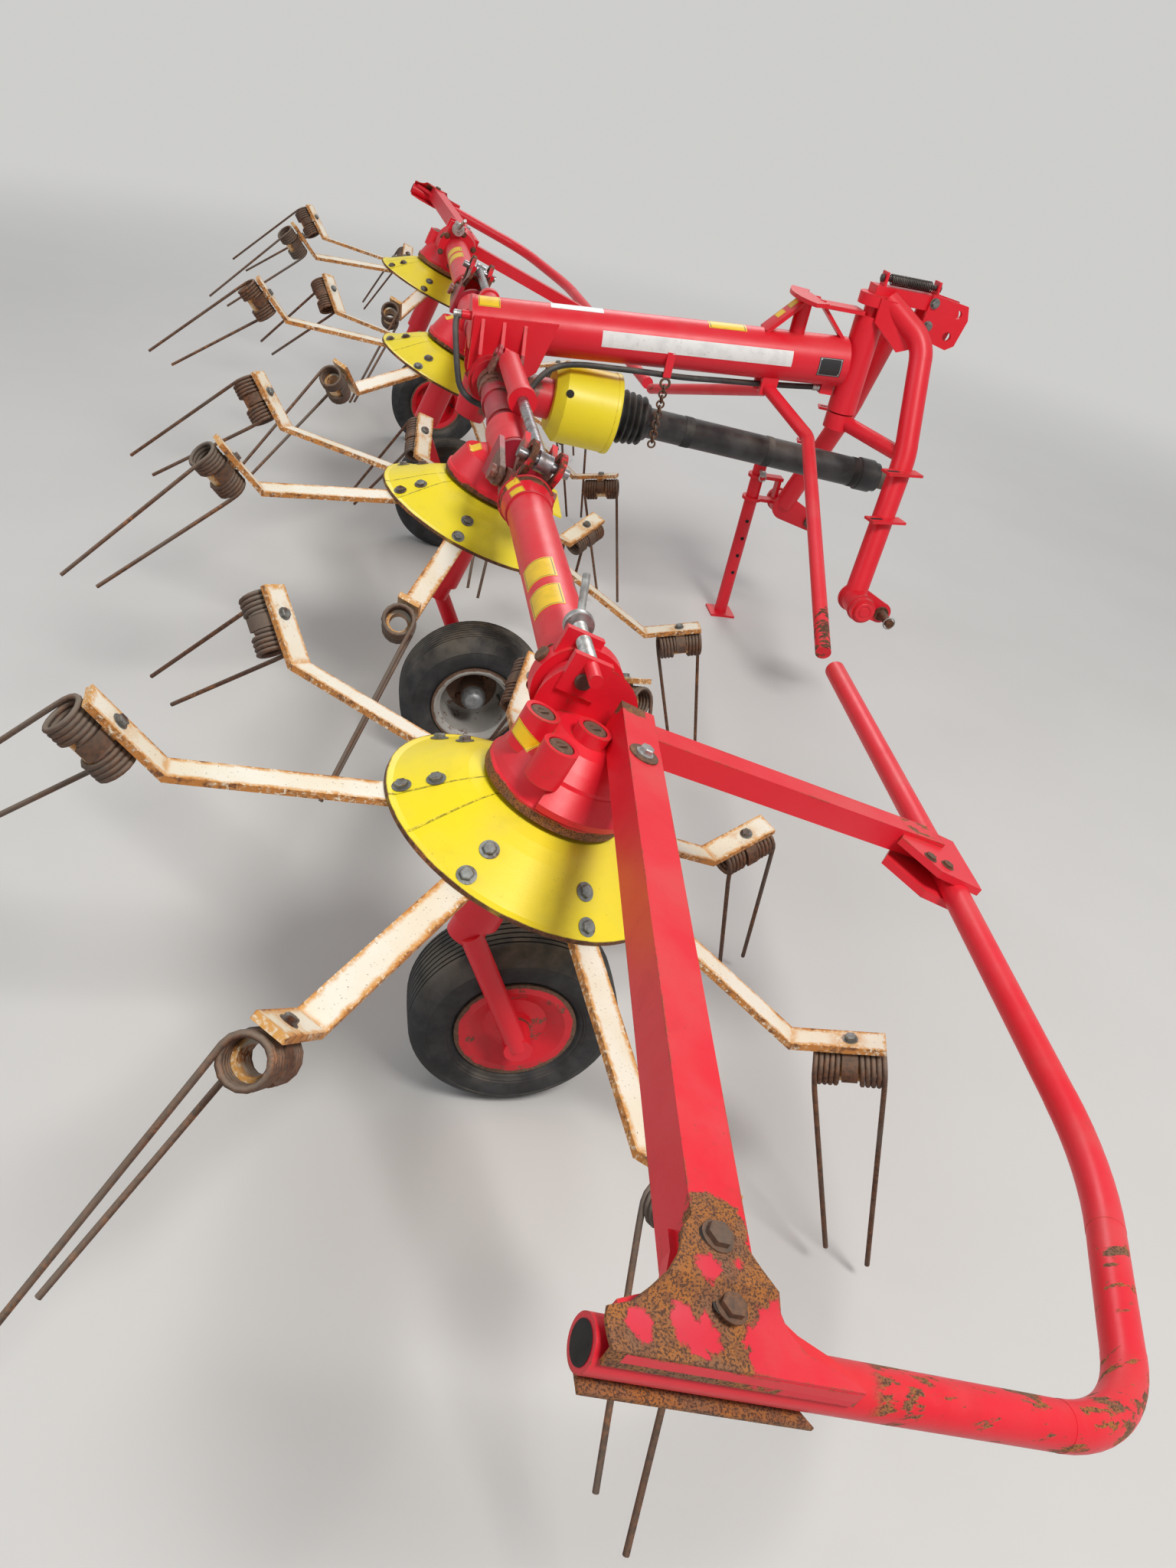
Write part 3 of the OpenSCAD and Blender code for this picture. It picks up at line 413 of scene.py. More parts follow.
def soft_black(name, colour=(0.02, 0.02, 0.021), dusty=0.35, rough=0.55, metallic=0.0):
    f = Finish(name, metallic)
    mid = f.noise(18, 5, 0.6)
    c = f.mix(f.span(mid, 0.35, 0.7), colour, tuple(x * 2.1 + 0.01 for x in colour))
    c = f.mix(f.upward(-0.2, 0.9) * f.patches(0.35, 0.7, 11, 5) * dusty, c, DUST)
    f.bump((f.noise(300, 4, 0.6), 0.0002))
    return f.finish(c, mid * 0.25 + rough)


def label_finish(name, colour, border, worn=0.25):
    """Printed foil: a plain field inside a thin border, scratched and faded."""
    f = Finish(name)
    uv = f.node("ShaderNodeUVMap", uv_map="label")[0]
    u, v = f.part("X", uv), f.part("Y", uv)
    near_edge = reduce(lambda a, b: f.math("MINIMUM", a, b), [u, 1 - u, v, 1 - v])
    line = f.span(near_edge, 0.03, 0.036) * (1 - f.span(near_edge, 0.055, 0.061))
    c = f.mix(f.patches(0.4, 0.7, 30, 4), colour, shade(colour, 0.86))
    c = f.mix(line * 0.85, c, border)
    c = f.mix(f.span(f.noise(90, 6, 0.7, stretch=(1, 3, 1)), 0.6, 0.68) * worn, c, DUST)
    f.bump((f.noise(200, 3), 0.00005))
    return f.finish(c, 0.42)


red = worn_paint("red_paint_worn", wear=0.6)
yellow = worn_paint("yellow_paint_worn", YELLOW, YELLOW_FADED, wear=0.6)
weld_red = worn_paint("weld_red", (0.5, 0.01, 0.018), (0.56, 0.025, 0.03), wear=0.8, gloss=0.4)
steel_bolt = rusted_steel("bolt_steel", tone=1.3, dusty=0.2, metallic=0.35)
tine_steel = rusted_steel("tine_spring_steel", tone=1.1, dusty=0.3)
dull_rust = rusted_steel("plug_rust", tone=0.9, orange=0.04, dusty=0.1)
zinc = plated_steel("zinc_plated", (0.55, 0.55, 0.54))
chrome = plated_steel("rod_chrome", (0.36, 0.36, 0.38), rust=0.55, rough=0.24)
bolt_grey = plated_steel("bolt_grey_zinc", (0.27, 0.28, 0.27), rust=0.95, rough=0.5)
dome_zinc = plated_steel("hub_cap_zinc", (0.34, 0.35, 0.36), rust=0.15, rough=0.5)
worn_black = soft_black("guard_black_plastic")
shaft_black = soft_black("shaft_guard_black", (0.012, 0.012, 0.013), dusty=0.16, rough=0.26)
spring_dark = soft_black("spring_dark_steel", (0.055, 0.045, 0.04), dusty=0.12, rough=0.35, metallic=0.6)
hose_black = soft_black("hose_black_rubber", dusty=0.3, rough=0.5)
tyre_black = soft_black("tyre_rubber", (0.016, 0.016, 0.017), dusty=0.3, rough=0.72)
# Near-black matte finish for the flat insets that stand for holes, slots and the guard tube's open mouth:
# painted shade
hole_shade_black = soft_black("painted_hole_shade", (0.006, 0.005, 0.005), dusty=0.1, rough=0.9)
foil_yellow = label_finish("label_yellow_foil", (0.88, 0.56, 0.01), (0.03, 0.03, 0.03))
foil_black = label_finish("data_plate_black", (0.02, 0.02, 0.022), (0.42, 0.42, 0.42))
foil_white = label_finish("stripe_white_foil", (0.8, 0.8, 0.79), (0.74, 0.74, 0.73), worn=0.55)


def coat(material, *nodes):
    for node in nodes:
        NODES[node].data.materials.clear()
        NODES[node].data.materials.append(material)


def mirrored(s):
    """Places in the row's frame, on side s."""
    return lambda u, y, h: in_row(u, s * y, h)


def marks(rows, spot=in_row):
    """(point, inner, outer) marks from rows of u, y, h, inner and outer in millimetres."""
    return [(tuple(spot(u, y, h)), inner, outer) for u, y, h, inner, outer in mm(rows)]


def dress_solids():
    coat(red, "main_beam", "headstock_bow", "top_link_bracket", "parking_stand", "guard_left",
         "ram_barrel_right", "ram_barrel_left")
    coat(yellow, "drive_bell", "disc_shields")
    coat(chrome, "ram_rod_right", "ram_rod_left")
    coat(tine_steel, "hanging_chain")
    coat(steel_bolt, "centring_spring", "hitch_pins", "shaft_yoke")
    coat(worn_black, "shaft_guard")
    coat(hose_black, "pressure_hose")
    # Near guard: rust at the arm's end and its joint, scuffs round the bend of the hoop
    coat(worn_paint("guard_red_rusty", wear=0.7,
                    spots=marks([(-66, -3066, 262, 22, 50), (50, -2078, 262, 10, 40)]),
                    scuffs=marks([(200, -3160, 215, 50, 120), (400, -3130, 215, 60, 150),
                                  (560, -2960, 215, 20, 90), (700, -2020, 225, 20, 60)])),
         "guard_right")
    coat(worn_paint("bar_red_peeled", wear=1.0,
                    scuffs=[((ROW_X + 0.861, s * (2.1 - 0.941), 0.65), 0.1, 0.22) for s in (-1, 1)]),
         "inner_guard_bars")
    coat(worn_paint("inner_gearbox_red", wear=0.8, place=(ROW_X, 0, ROW_Z), foot=(0.074, 0.09)),
         "inner_gearboxes")
    joints = [(0, 980, 220, 60, 150), (0, 180, 220, 40, 130), (30, 500, 220, 10, 70), (20, 340, 220, 10, 70)]
    coat(worn_paint("greasy_red", (0.36, 0.012, 0.03), (0.46, 0.03, 0.05), wear=1.2, gloss=0.36, dust=0.3,
                    grease=marks(joints, mirrored(-1)) + marks(joints, mirrored(1))), "cross_tubes")
    coat(worn_paint("gearbox_red_greasy", GREASY_RED, RED_FADED, wear=1.1, gloss=0.4, dust=0.4,
                    grease=marks([(50, 0, 200, 60, 170)])), "centre_gearbox")
    for w in WINGS:
        side, s = w["side"], w["s"]
        coat(worn_paint(f"gearbox_red_{side}", wear=0.8, place=(ROW_X, w["y"], ROW_Z),
                        foot=(0.074, 0.098), spots=[((-0.035, -s * 0.045, 0.215), 0.0, 0.022)]),
             f"outer_gearbox_{side}")
        hinge = sorted((s * 1.03, s * 1.11))
        coat(worn_paint(f"wing_red_{side}", wear=0.9, bands=[("Y", *hinge)], grease=marks(
            [(0, 990, 220, 50, 130), (0, 1070, 285, 20, 70), (0, 1085, 245, 10, 50),
             (45, 1600, 220, 15, 55)], mirrored(s))), f"wing_tube_{side}")
    for r in ROTORS:
        n, inner = r["n"], r["n"] in (2, 3)
        coat(worn_paint(f"disc_yellow_{n}", YELLOW, YELLOW_FADED, wear=0.5, gloss=0.28, dust=0.14,
                        place=(ROW_X, r["y"], ROW_Z), rim=0.2565,
                        creases=[radians(a) for a in (-172, -152, 38, 60)]), f"disc_{n}")
        coat(arm_paint(f"arm_cream_{n}", r["y"], r["phase"]), f"arms_{n}")
        coat(tyre_black, f"tyre_{n}")
        coat(tine_steel, f"tines_{n}")
        coat(rim_steel(f"rim_paint_{n}", tuple(hub_of(r)), (0.4, 0.385, 0.355) if inner else RED,
                       (0.17, 0.095, 0.06), 0.072 if inner else 0.03), f"rim_{n}")


dress_solids()


# ---- making pieces
def smooth(mesh, angle=32):
    for p in mesh.polygons:
        p.use_smooth = True
    mesh.set_sharp_from_angle(angle=radians(angle))


def add_piece(name, mesh, body, material=None, replaces=()):
    mesh.name = name
    if material:
        mesh.materials.clear()
        mesh.materials.append(material)
    ob = in_scene(name, mesh)
    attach(ob, body)
    if replaces:
        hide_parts(*replaces)
    return ob


def mesh_from(bm, angle=32):
    bmesh.ops.remove_doubles(bm, verts=bm.verts, dist=1e-6)
    bmesh.ops.recalc_face_normals(bm, faces=bm.faces)
    mesh = bpy.data.meshes.new("mesh")
    bm.to_mesh(mesh)
    bm.free()
    smooth(mesh, angle)
    return mesh


def joined(parts, angle=32):
    """One mesh from several bmeshes."""
    whole = bmesh.new()
    for one in parts:
        part = bpy.data.meshes.new("part")
        one.to_mesh(part)
        one.free()
        whole.from_mesh(part)
        bpy.data.meshes.remove(part)
    return mesh_from(whole, angle)


def add_parts(name, body, slot, material, *parts, angle=32, replaces=()):
    """One piece from one or more bmeshes."""
    return add_piece(name, joined(parts, angle), body, material, replaces)


def frame_of(way, beside=(1, 0, 0)):
    """Rotation whose z runs along way."""
    z = Vector(way).normalized()
    x = Vector(beside) - z * z.dot(Vector(beside))
    x = x.normalized() if x.length > 1e-4 else z.orthogonal().normalized()
    return Matrix((x, z.cross(x), z)).transposed().to_4x4()


def placed(bm, place, way, beside=(1, 0, 0)):
    bm.transform(Matrix.Translation(Vector(place)) @ frame_of(way, beside))
    return bm


def turned(profile, sides=24, closed=False):
    """Solid of revolution about z from (radius, height) points. Its ends lie on the axis, or it is
    closed: the last point joins the first, for a ring."""
    bm = bmesh.new()
    rings = [[bm.verts.new((r * cos(a), r * sin(a), z)) for a in (full_turn(sides) if r else [0])]
             for r, z in profile]
    for a, b in zip(rings, rings[1:] + (rings[:1] if closed else [])):
        for k in range(sides):
            j = (k + 1) % sides
            quad = (a[k % len(a)], a[j % len(a)], b[j % len(b)], b[k % len(b)])
            corners = list(dict.fromkeys(quad))
            if len(corners) > 2:
                bm.faces.new(corners)
    return bm


def lathe(profile, place, way, sides=24, closed=False):
    return placed(turned(profile, sides, closed), place, way)


def disc(radius, height, place, way, sides=20):
    return lathe([(0, 0), (radius, 0), (radius, height), (0, height)], place, way, sides)


def loft(bm, rings):
    """Adds a solid through rings of corners, with a lid at each end."""
    rings = [[bm.verts.new(p) for p in ring] for ring in rings]
    for a, b in zip(rings, rings[1:]):
        for k in range(len(a)):
            j = (k + 1) % len(a)
            bm.faces.new((a[k], b[k], b[j], a[j]))
    bm.faces.new(rings[0])
    bm.faces.new(rings[-1][::-1])
    return bm


def hex_bolt(across, height, washer=1.3):
    """Hexagon head with a chamfered top on a thin washer, its seat at z = 0."""
    wide, low, high = across * 0.5 * washer * 1.12, height * 0.16, height * 0.18
    bm = turned([(0, 0), (wide, 0), (wide, low), (across * 0.5, high), (0, high)], 20)
    r = across / 2 / cos(pi / 6)
    return loft(bm, [[(q * cos(a), q * sin(a), z) for a in full_turn(6)]
                     for q, z in ((r, low), (r, height * 0.86), (r * 0.84, height))])


def plate(outline, thick, bevel=0.0012):
    """Flat plate in the xy plane, centred on z, with softened edges."""
    bm = bmesh.new()
    face = bm.faces.new([bm.verts.new((x, y, -thick / 2)) for x, y in outline])
    up = bmesh.ops.extrude_face_region(bm, geom=[face])
    lifted = [v for v in up["geom"] if isinstance(v, bmesh.types.BMVert)]
    bmesh.ops.translate(bm, verts=lifted, vec=(0, 0, thick))
    bmesh.ops.recalc_face_normals(bm, faces=bm.faces)
    if bevel:
        sharp = [e for e in bm.edges if e.calc_face_angle(0) > 0.5]
        bmesh.ops.bevel(bm, geom=sharp, offset=bevel, segments=2, profile=0.5, affect="EDGES")
    return bm


def oblong(half_x, half_y):
    return [(-half_x, -half_y), (half_x, -half_y), (half_x, half_y), (-half_x, half_y)]


def sheet_over(rows, thick):
    """Bent sheet from rows of points of one length; its thickness is laid on the side away from z."""
    bm = bmesh.new()
    top = [[bm.verts.new(p) for p in row] for row in rows]
    for a, b in zip(top, top[1:]):
        for k in range(len(a) - 1):
            bm.faces.new((a[k], a[k + 1], b[k + 1], b[k]))
    bmesh.ops.recalc_face_normals(bm, faces=bm.faces)
    bm.normal_update()
    if sum(f.normal.dot(UP) for f in bm.faces) < 0:
        bmesh.ops.reverse_faces(bm, faces=bm.faces)
    bmesh.ops.solidify(bm, geom=bm.faces[:], thickness=thick)
    return bm


# ---- geometry node trees
ENDS = [("Place", "Vector", (0, 0, 0)), ("Turn", "Vector", (0, 0, 0)), ("Material", "Material", None)]


def new_tree(name, *sizes):
    """A tree with a geometry input and named sizes: (name, socket type, default)."""
    tree = bpy.data.node_groups.new(name, "GeometryNodeTree")
    tree.interface.new_socket("Geometry", in_out="INPUT", socket_type="NodeSocketGeometry")
    for label, kind, default in list(sizes) + ENDS:
        socket = tree.interface.new_socket(label, in_out="INPUT", socket_type="NodeSocket" + kind)
        if default is not None:
            socket.default_value = default
    tree.interface.new_socket("Geometry", in_out="OUTPUT", socket_type="NodeSocketGeometry")
    return tree, tree.nodes.new("NodeGroupInput").outputs


def close_tree(tree, given, copies):
    """Turns the copies into place, realizes them and sets their material, as every tree here ends."""
    place = result(tree, "GeometryNodeTransform", {
        0: copies, "Translation": given["Place"], "Rotation": given["Turn"]})
    real = result(tree, "GeometryNodeRealizeInstances", {0: place})
    paint = result(tree, "GeometryNodeSetMaterial", {0: real, "Material": given["Material"]})
    add_node(tree, "NodeGroupOutput", {0: paint})
    return tree


def put_copies(tree, points, geometry, turn):
    return result(tree, "GeometryNodeInstanceOnPoints", {
        "Points": points, "Instance": geometry, "Rotation": turn})


def spin_instances(tree, given, geometry):
    """Copies geometry Count times round z, the first at angle Phase."""
    line = result(tree, "GeometryNodeMeshLine", {"Offset": (0, 0, 0), "Count": given["Count"]})
    index = result(tree, "GeometryNodeInputIndex")
    step = result(tree, "ShaderNodeMath", {0: 2 * pi, 1: given["Count"]}, operation="DIVIDE")
    angle = result(tree, "ShaderNodeMath", {0: index, 1: step, 2: given["Phase"]}, operation="MULTIPLY_ADD")
    turn = result(tree, "FunctionNodeEulerToRotation", {0: result(tree, "ShaderNodeCombineXYZ", {"Z": angle})})
    return put_copies(tree, line, geometry, turn)


def wire_round_tree():
    """Draws a bar of round wire along the given curve and repeats it round the rotor."""
    tree, given = new_tree("spring_wire_round_rotor", ("Wire Radius", "Float", 0.00475), ("Sides", "Int", 8),
                           ("Count", "Int", ARMS), ("Phase", "Float", 0.0))
    ring = result(tree, "GeometryNodeCurvePrimitiveCircle", {
        "Resolution": given["Sides"], "Radius": given["Wire Radius"]})
    bar = result(tree, "GeometryNodeCurveToMesh", {"Curve": given[0], "Profile Curve": ring, "Fill Caps": True})
    soft = result(tree, "GeometryNodeSetShadeSmooth", {0: bar})
    return close_tree(tree, given, spin_instances(tree, given, soft))


def round_tree():
    """Repeats a ready mesh round an axis."""
    tree, given = new_tree("copies_round_axis", ("Count", "Int", ARMS), ("Phase", "Float", 0.0))
    return close_tree(tree, given, spin_instances(tree, given, given[0]))


def rows_tree():
    """Puts the given mesh on each vertex of Spots, turned to its facing."""
    tree, given = new_tree("copies_on_spots", ("Spots", "Object", None))
    spots = add_node(tree, "GeometryNodeObjectInfo", {"Object": given["Spots"]}).outputs["Geometry"]
    facing = add_node(tree, "GeometryNodeInputNamedAttribute", {"Name": "facing"}, data_type="FLOAT_VECTOR")
    align = result(tree, "FunctionNodeAlignRotationToVector", {"Vector": facing.outputs["Attribute"]}, axis="Z")
    return close_tree(tree, given, put_copies(tree, spots, given[0], align))


WIRE_ROUND, ROUND, ON_SPOTS = wire_round_tree(), round_tree(), rows_tree()


def grown(base, tree, **inputs):
    """The plain mesh that a tree makes from base (a curve or mesh)."""
    ob = in_scene("grown", base)
    mod = ob.modifiers.new("grown", "NODES")
    mod.node_group = tree
    ids = {item.name: item.identifier for item in tree.interface.items_tree if item.in_out == "INPUT"}
    for label, value in inputs.items():
        mod[ids[label.replace("_", " ")]] = value
    bpy.context.view_layer.update()
    mesh = bpy.data.meshes.new_from_object(ob.evaluated_get(bpy.context.evaluated_depsgraph_get()))
    bpy.data.objects.remove(ob)
    return mesh


def bolts_at(name, body, spots, across, height, material=steel_bolt):
    """Hexagon bolts, one on each (place, direction), all on one body."""
    mesh = bpy.data.meshes.new("spots")
    mesh.from_pydata([tuple(place) for place, _ in spots], [], [])
    facing = mesh.attributes.new("facing", "FLOAT_VECTOR", "POINT")
    for k, (_, way) in enumerate(spots):
        facing.data[k].vector = Vector(way).normalized()
    holder = in_scene("spots", mesh)
    bolts = grown(mesh_from(hex_bolt(across, height)), ON_SPOTS, Spots=holder, Material=material)
    bpy.data.objects.remove(holder)
    return add_piece(name, bolts, body)


def poly_curve(points):
    data = bpy.data.curves.new("path", "CURVE")
    data.dimensions = "3D"
    line = data.splines.new("POLY")
    line.points.add(len(points) - 1)
    for k, p in enumerate(points):
        line.points[k].co = (*p, 1)
    return data


def pipe(points, radius, material=None, sides=8):
    mesh = grown(poly_curve(points), WIRE_ROUND, Wire_Radius=radius, Sides=sides, Count=1, Phase=0.0,
                 Material=material)
    smooth(mesh, 50)
    return mesh


# ---- rotors
# An arm's own frame: x outward from the rotor's axis, y across, z along the axis.
BEND, ARM_END = Vector((BEND_R, 0, -0.098)), Vector((0.712, 0, -0.012))
END_DIR = (ARM_END - BEND).normalized()
END_UP = Vector((-END_DIR.z, 0, END_DIR.x))
COIL_GAP, COIL_DROP, COIL_R, WIRE = 0.079, 0.048, 0.03175, 0.0095
COIL_MID = ARM_END - END_DIR * (COIL_GAP * 0.6 + 0.012) - END_UP * COIL_DROP
TURNS, TURN_STEPS = 4.5, 16
INNER_TIP, OUTER_TIP = (0.866, -0.42), (0.948, -0.408)
DISC_SLOPE, DISC_BOLTS = atan2(0.046, 0.068), ((0.19, 0.0315), (0.236, 0.0003))


def tine_path(sense):
    """Centre line of one double spring tine, from its inner tip to its outer tip."""
    def half(side, tip):
        tip = Vector((tip[0], -sense * (0.022 + 0.5 * (COIL_R + WIRE / 2)), tip[1]))
        points = []
        steps = int(TURNS * TURN_STEPS)
        for k in range(steps + 1):
            a = TURNS * 2 * pi * k / steps
            x = side * (0.0165 + 0.0425 * k / steps)
            turn = Vector((0, sense * COIL_R * cos(a), 0)) + END_UP * COIL_R * sin(a)
            points.append(COIL_MID + END_DIR * x + turn)
        leave = points[-1]
        for d in (0.012, 0.026, 0.042):
            straight = leave + (tip - leave).normalized() * d
            points.append((leave - END_UP * d).lerp(straight, d * 12))
        return points + [tip]
    return half(-1, INNER_TIP)[::-1] + half(1, OUTER_TIP)


def coil_clamp():
    """Cast saddle between the two coils, its bolt through the end of the arm."""
    inner, outer, wide = COIL_R - 0.007, COIL_R + 0.0065, 0.0135
    section = ((inner, -wide), (inner, wide), (outer, wide), (outer, -wide))
    rings = [[(x, r * cos(a), r * sin(a)) for r, x in section]
             for a in [pi * (k / 12 * 1.15 - 0.075) for k in range(13)]]
    return mesh_from(placed(loft(bmesh.new(), rings), COIL_MID, END_UP, END_DIR))


def arm_bolts():
    """Bolts on one arm: at the disc (two) and over the coils (one), in the arm's frame."""
    parts = [placed(hex_bolt(0.019, 0.0085, 1.5), (x, 0, z), (sin(DISC_SLOPE), 0, cos(DISC_SLOPE)))
             for x, z in DISC_BOLTS]
    over = COIL_MID + END_UP * (COIL_DROP + 0.006)
    return joined(parts + [placed(hex_bolt(0.018, 0.009), over, END_UP, END_DIR)])


def dress_rotor(r):
    n, body = r["n"], f"rotor_{r['n']}"
    place = dict(Place=(ROW_X, r["y"], ROW_Z), Turn=(0, TILT, 0), Count=ARMS, Phase=radians(r["phase"]))
    tines = grown(poly_curve(tine_path(r["sense"])), WIRE_ROUND, Wire_Radius=WIRE / 2, Sides=8,
                  Material=tine_steel, **place)
    smooth(tines, 60)
    add_piece(f"spring_tines_{n}", tines, body, replaces=[f"tines_{n}"])
    add_piece(f"arm_bolts_{n}", grown(arm_bolts(), ROUND, Material=bolt_grey, **place), body)
    add_piece(f"coil_clamps_{n}", grown(coil_clamp(), ROUND, Material=steel_bolt, **place), body)


# ---- placing pieces on the frame
UP, AXIS_U, AXIS_Y = in_row(0, 0, 1) - in_row(0, 0, 0), in_row(1, 0, 0) - in_row(0, 0, 0), Vector((0, 1, 0))
SURFACES = {}
# Where rays start: beside a wheel or gearbox, above a guard, off a label's face
BESIDE, ABOVE, OFF_FACE = 0.2, 0.5, 0.04


def touch(node, start, way):
    """Where a ray first meets a CAD node or a piece, and the face's outward direction there."""
    if node not in SURFACES:
        mesh = (NODES[node] if node in NODES else bpy.data.objects[node]).data
        faces = [tuple(p.vertices) for p in mesh.polygons]
        SURFACES[node] = BVHTree.FromPolygons([v.co for v in mesh.vertices], faces)
    way = Vector(way).normalized()
    place, normal, _, _ = SURFACES[node].ray_cast(Vector(start), way)
    if place is None:
        raise ValueError(f"no face of {node} from {tuple(start)}")
    return place, -normal if normal.dot(way) > 0 else normal


def bolts_on(name, body, node, rays, across, height, material=steel_bolt):
    """Bolts where rays (start, way) meet a node."""
    return bolts_at(name, body, [touch(node, *ray) for ray in rays], across, height, material)


def label(name, body, node, middle, out, up, width, height, material=foil_yellow, columns=14, rows=8):
    """Thin label that follows the node's face. out points away from the face, up along the label."""
    out, up = Vector(out).normalized(), Vector(up).normalized()
    side = up.cross(out).normalized()
    up = out.cross(side).normalized()
    bm = bmesh.new()
    layer = bm.loops.layers.uv.new("label")
    at = {}

    def corner(i, j, lift):
        u, v = i / columns, j / rows
        spot = Vector(middle) + side * width * (u - 0.5) + up * height * (v - 0.5) + out * OFF_FACE
        place, normal = touch(node, spot, -out)
        vert = bm.verts.new(place + normal * lift)
        at[vert] = (u, v)
        return vert

    top, low = [[[corner(i, j, lift) for i in range(columns + 1)] for j in range(rows + 1)]
                for lift in (0.0008, 0.00015)]
    for j in range(rows):
        for i in range(columns):
            bm.faces.new((top[j][i], top[j][i + 1], top[j + 1][i + 1], top[j + 1][i]))
            bm.faces.new((low[j][i], low[j + 1][i], low[j + 1][i + 1], low[j][i + 1]))
    rim = [(0, i) for i in range(columns)] + [(j, columns) for j in range(rows)]
    rim += [(rows, i) for i in range(columns, 0, -1)] + [(j, 0) for j in range(rows, 0, -1)]
    for (ja, ia), (jb, ib) in zip(rim, rim[1:] + rim[:1]):
        bm.faces.new((top[ja][ia], low[ja][ia], low[jb][ib], top[jb][ib]))
    bmesh.ops.recalc_face_normals(bm, faces=bm.faces)
    for face in bm.faces:
        for loop in face.loops:
            loop[layer].uv = at[loop.vert]
    mesh = bpy.data.meshes.new(name)
    bm.to_mesh(mesh)
    bm.free()
    smooth(mesh, 40)
    return add_piece(name, mesh, body, material)


# ---- wheels
TYRE_R, GROOVES = 0.2048, (0.0065, 0.0195, 0.0325, 0.044)
TYRE_WALL = mm([(104.2, -54.8), (118, -63.2), (123.2, -66.4), (126.2, -70.6), (130, -72.2), (133, -76.2),
                (135, -76.4), (137.2, -78.4), (150, -80.8), (162, -80.4), (170, -79), (172, -79.8),
                (174.5, -78.2), (183, -72.4), (190, -66.8), (196.5, -60.4), (200.8, -55.6), (202.8, -50.6)])
HUB_CAP = mm([(0, -6), (33.5, -6), (33.5, 10), (31, 14), (28, 24), (22, 31), (11, 34), (0, 34.5)])
VALVE = mm([(0, -4), (4.5, -4), (4.5, 10), (3.4, 12), (3.4, 24), (4.2, 25), (4.2, 32), (0, 32.5)])
NUT_R, CAP_OUT, VALVE_AT = 0.047, 0.019, Vector((0.078, 0, -0.022))


def tyre_profile():
    """Section of the many-ribbed tyre, (radius, sideways), from one bead round the tread to the other."""
    tread = []
    for g in sorted([-g for g in GROOVES] + list(GROOVES)):
        top = TYRE_R - 0.6 * g * g
        tread += [(top, g - 0.0019), (top - 0.006, g - 0.001), (top - 0.006, g + 0.001), (top, g + 0.0019)]
    return TYRE_WALL + tread + [(r, -y) for r, y in reversed(TYRE_WALL)]


def dress_wheel(r):
    n, body, middle = r["n"], f"wheel_{r['n']}", hub_of(r)
    out = Vector((0, r["sense"], 0))
    tyre = lathe(tyre_profile(), middle, (0, 1, 0), 64, True)
    add_parts(f"ribbed_tyre_{n}", body, "tyre", tyre_black, tyre, angle=28, replaces=[f"tyre_{n}"])
    cap = lathe(HUB_CAP, middle + out * CAP_OUT, out)
    add_parts(f"hub_cap_{n}", body, "dark_steel", dome_zinc, cap, angle=40)
    nuts = [(middle + Vector((NUT_R * cos(a), 0, NUT_R * sin(a))) + out * BESIDE, -out)
            for a in [pi / 4 + turn for turn in full_turn(4)]]
    bolts_on(f"wheel_nuts_{n}", body, f"rim_{n}", nuts, 0.015, 0.009)
    stem = touch(f"rim_{n}", middle + VALVE_AT + out * BESIDE, -out)
    add_parts(f"valve_{n}", body, "black_plastic", worn_black, lathe(VALVE, *stem, 12), angle=40)


# ---- outer gearboxes
PLUGS = mm([(-90, -10), (-5, -22), (-66, -88)])
PLUG = mm([(0, 0), (20.5, 0), (20.5, 4.5), (18.5, 6), (10, 6.2), (8.8, 4.2), (0, 4.2)])
KNOB = mm([(0, -1.2), (26.2, -1.2), (27.2, 1), (27.2, 13), (26.2, 15.2), (12, 15.8), (10, 19), (0, 19)])
PIN_HEAD = mm([(0, 0), (14.5, 0), (14.5, 5), (13, 6.8), (0, 7.2)])
SPINDLE_U, SPINDLE_H, SPINDLE_R = -0.034, 0.084, 0.0135
COLLAR_R = 0.072


def threaded(length, radius, pitch=0.0032):
    """Threaded rod drawn as close grooves."""
    profile = [(0, 0)]
    for k in range(int(length / pitch)):
        profile += [(radius - 0.0013, k * pitch), (radius, (k + 0.5) * pitch)]
    return turned(profile + [(radius - 0.0013, length), (0, length)], 20)


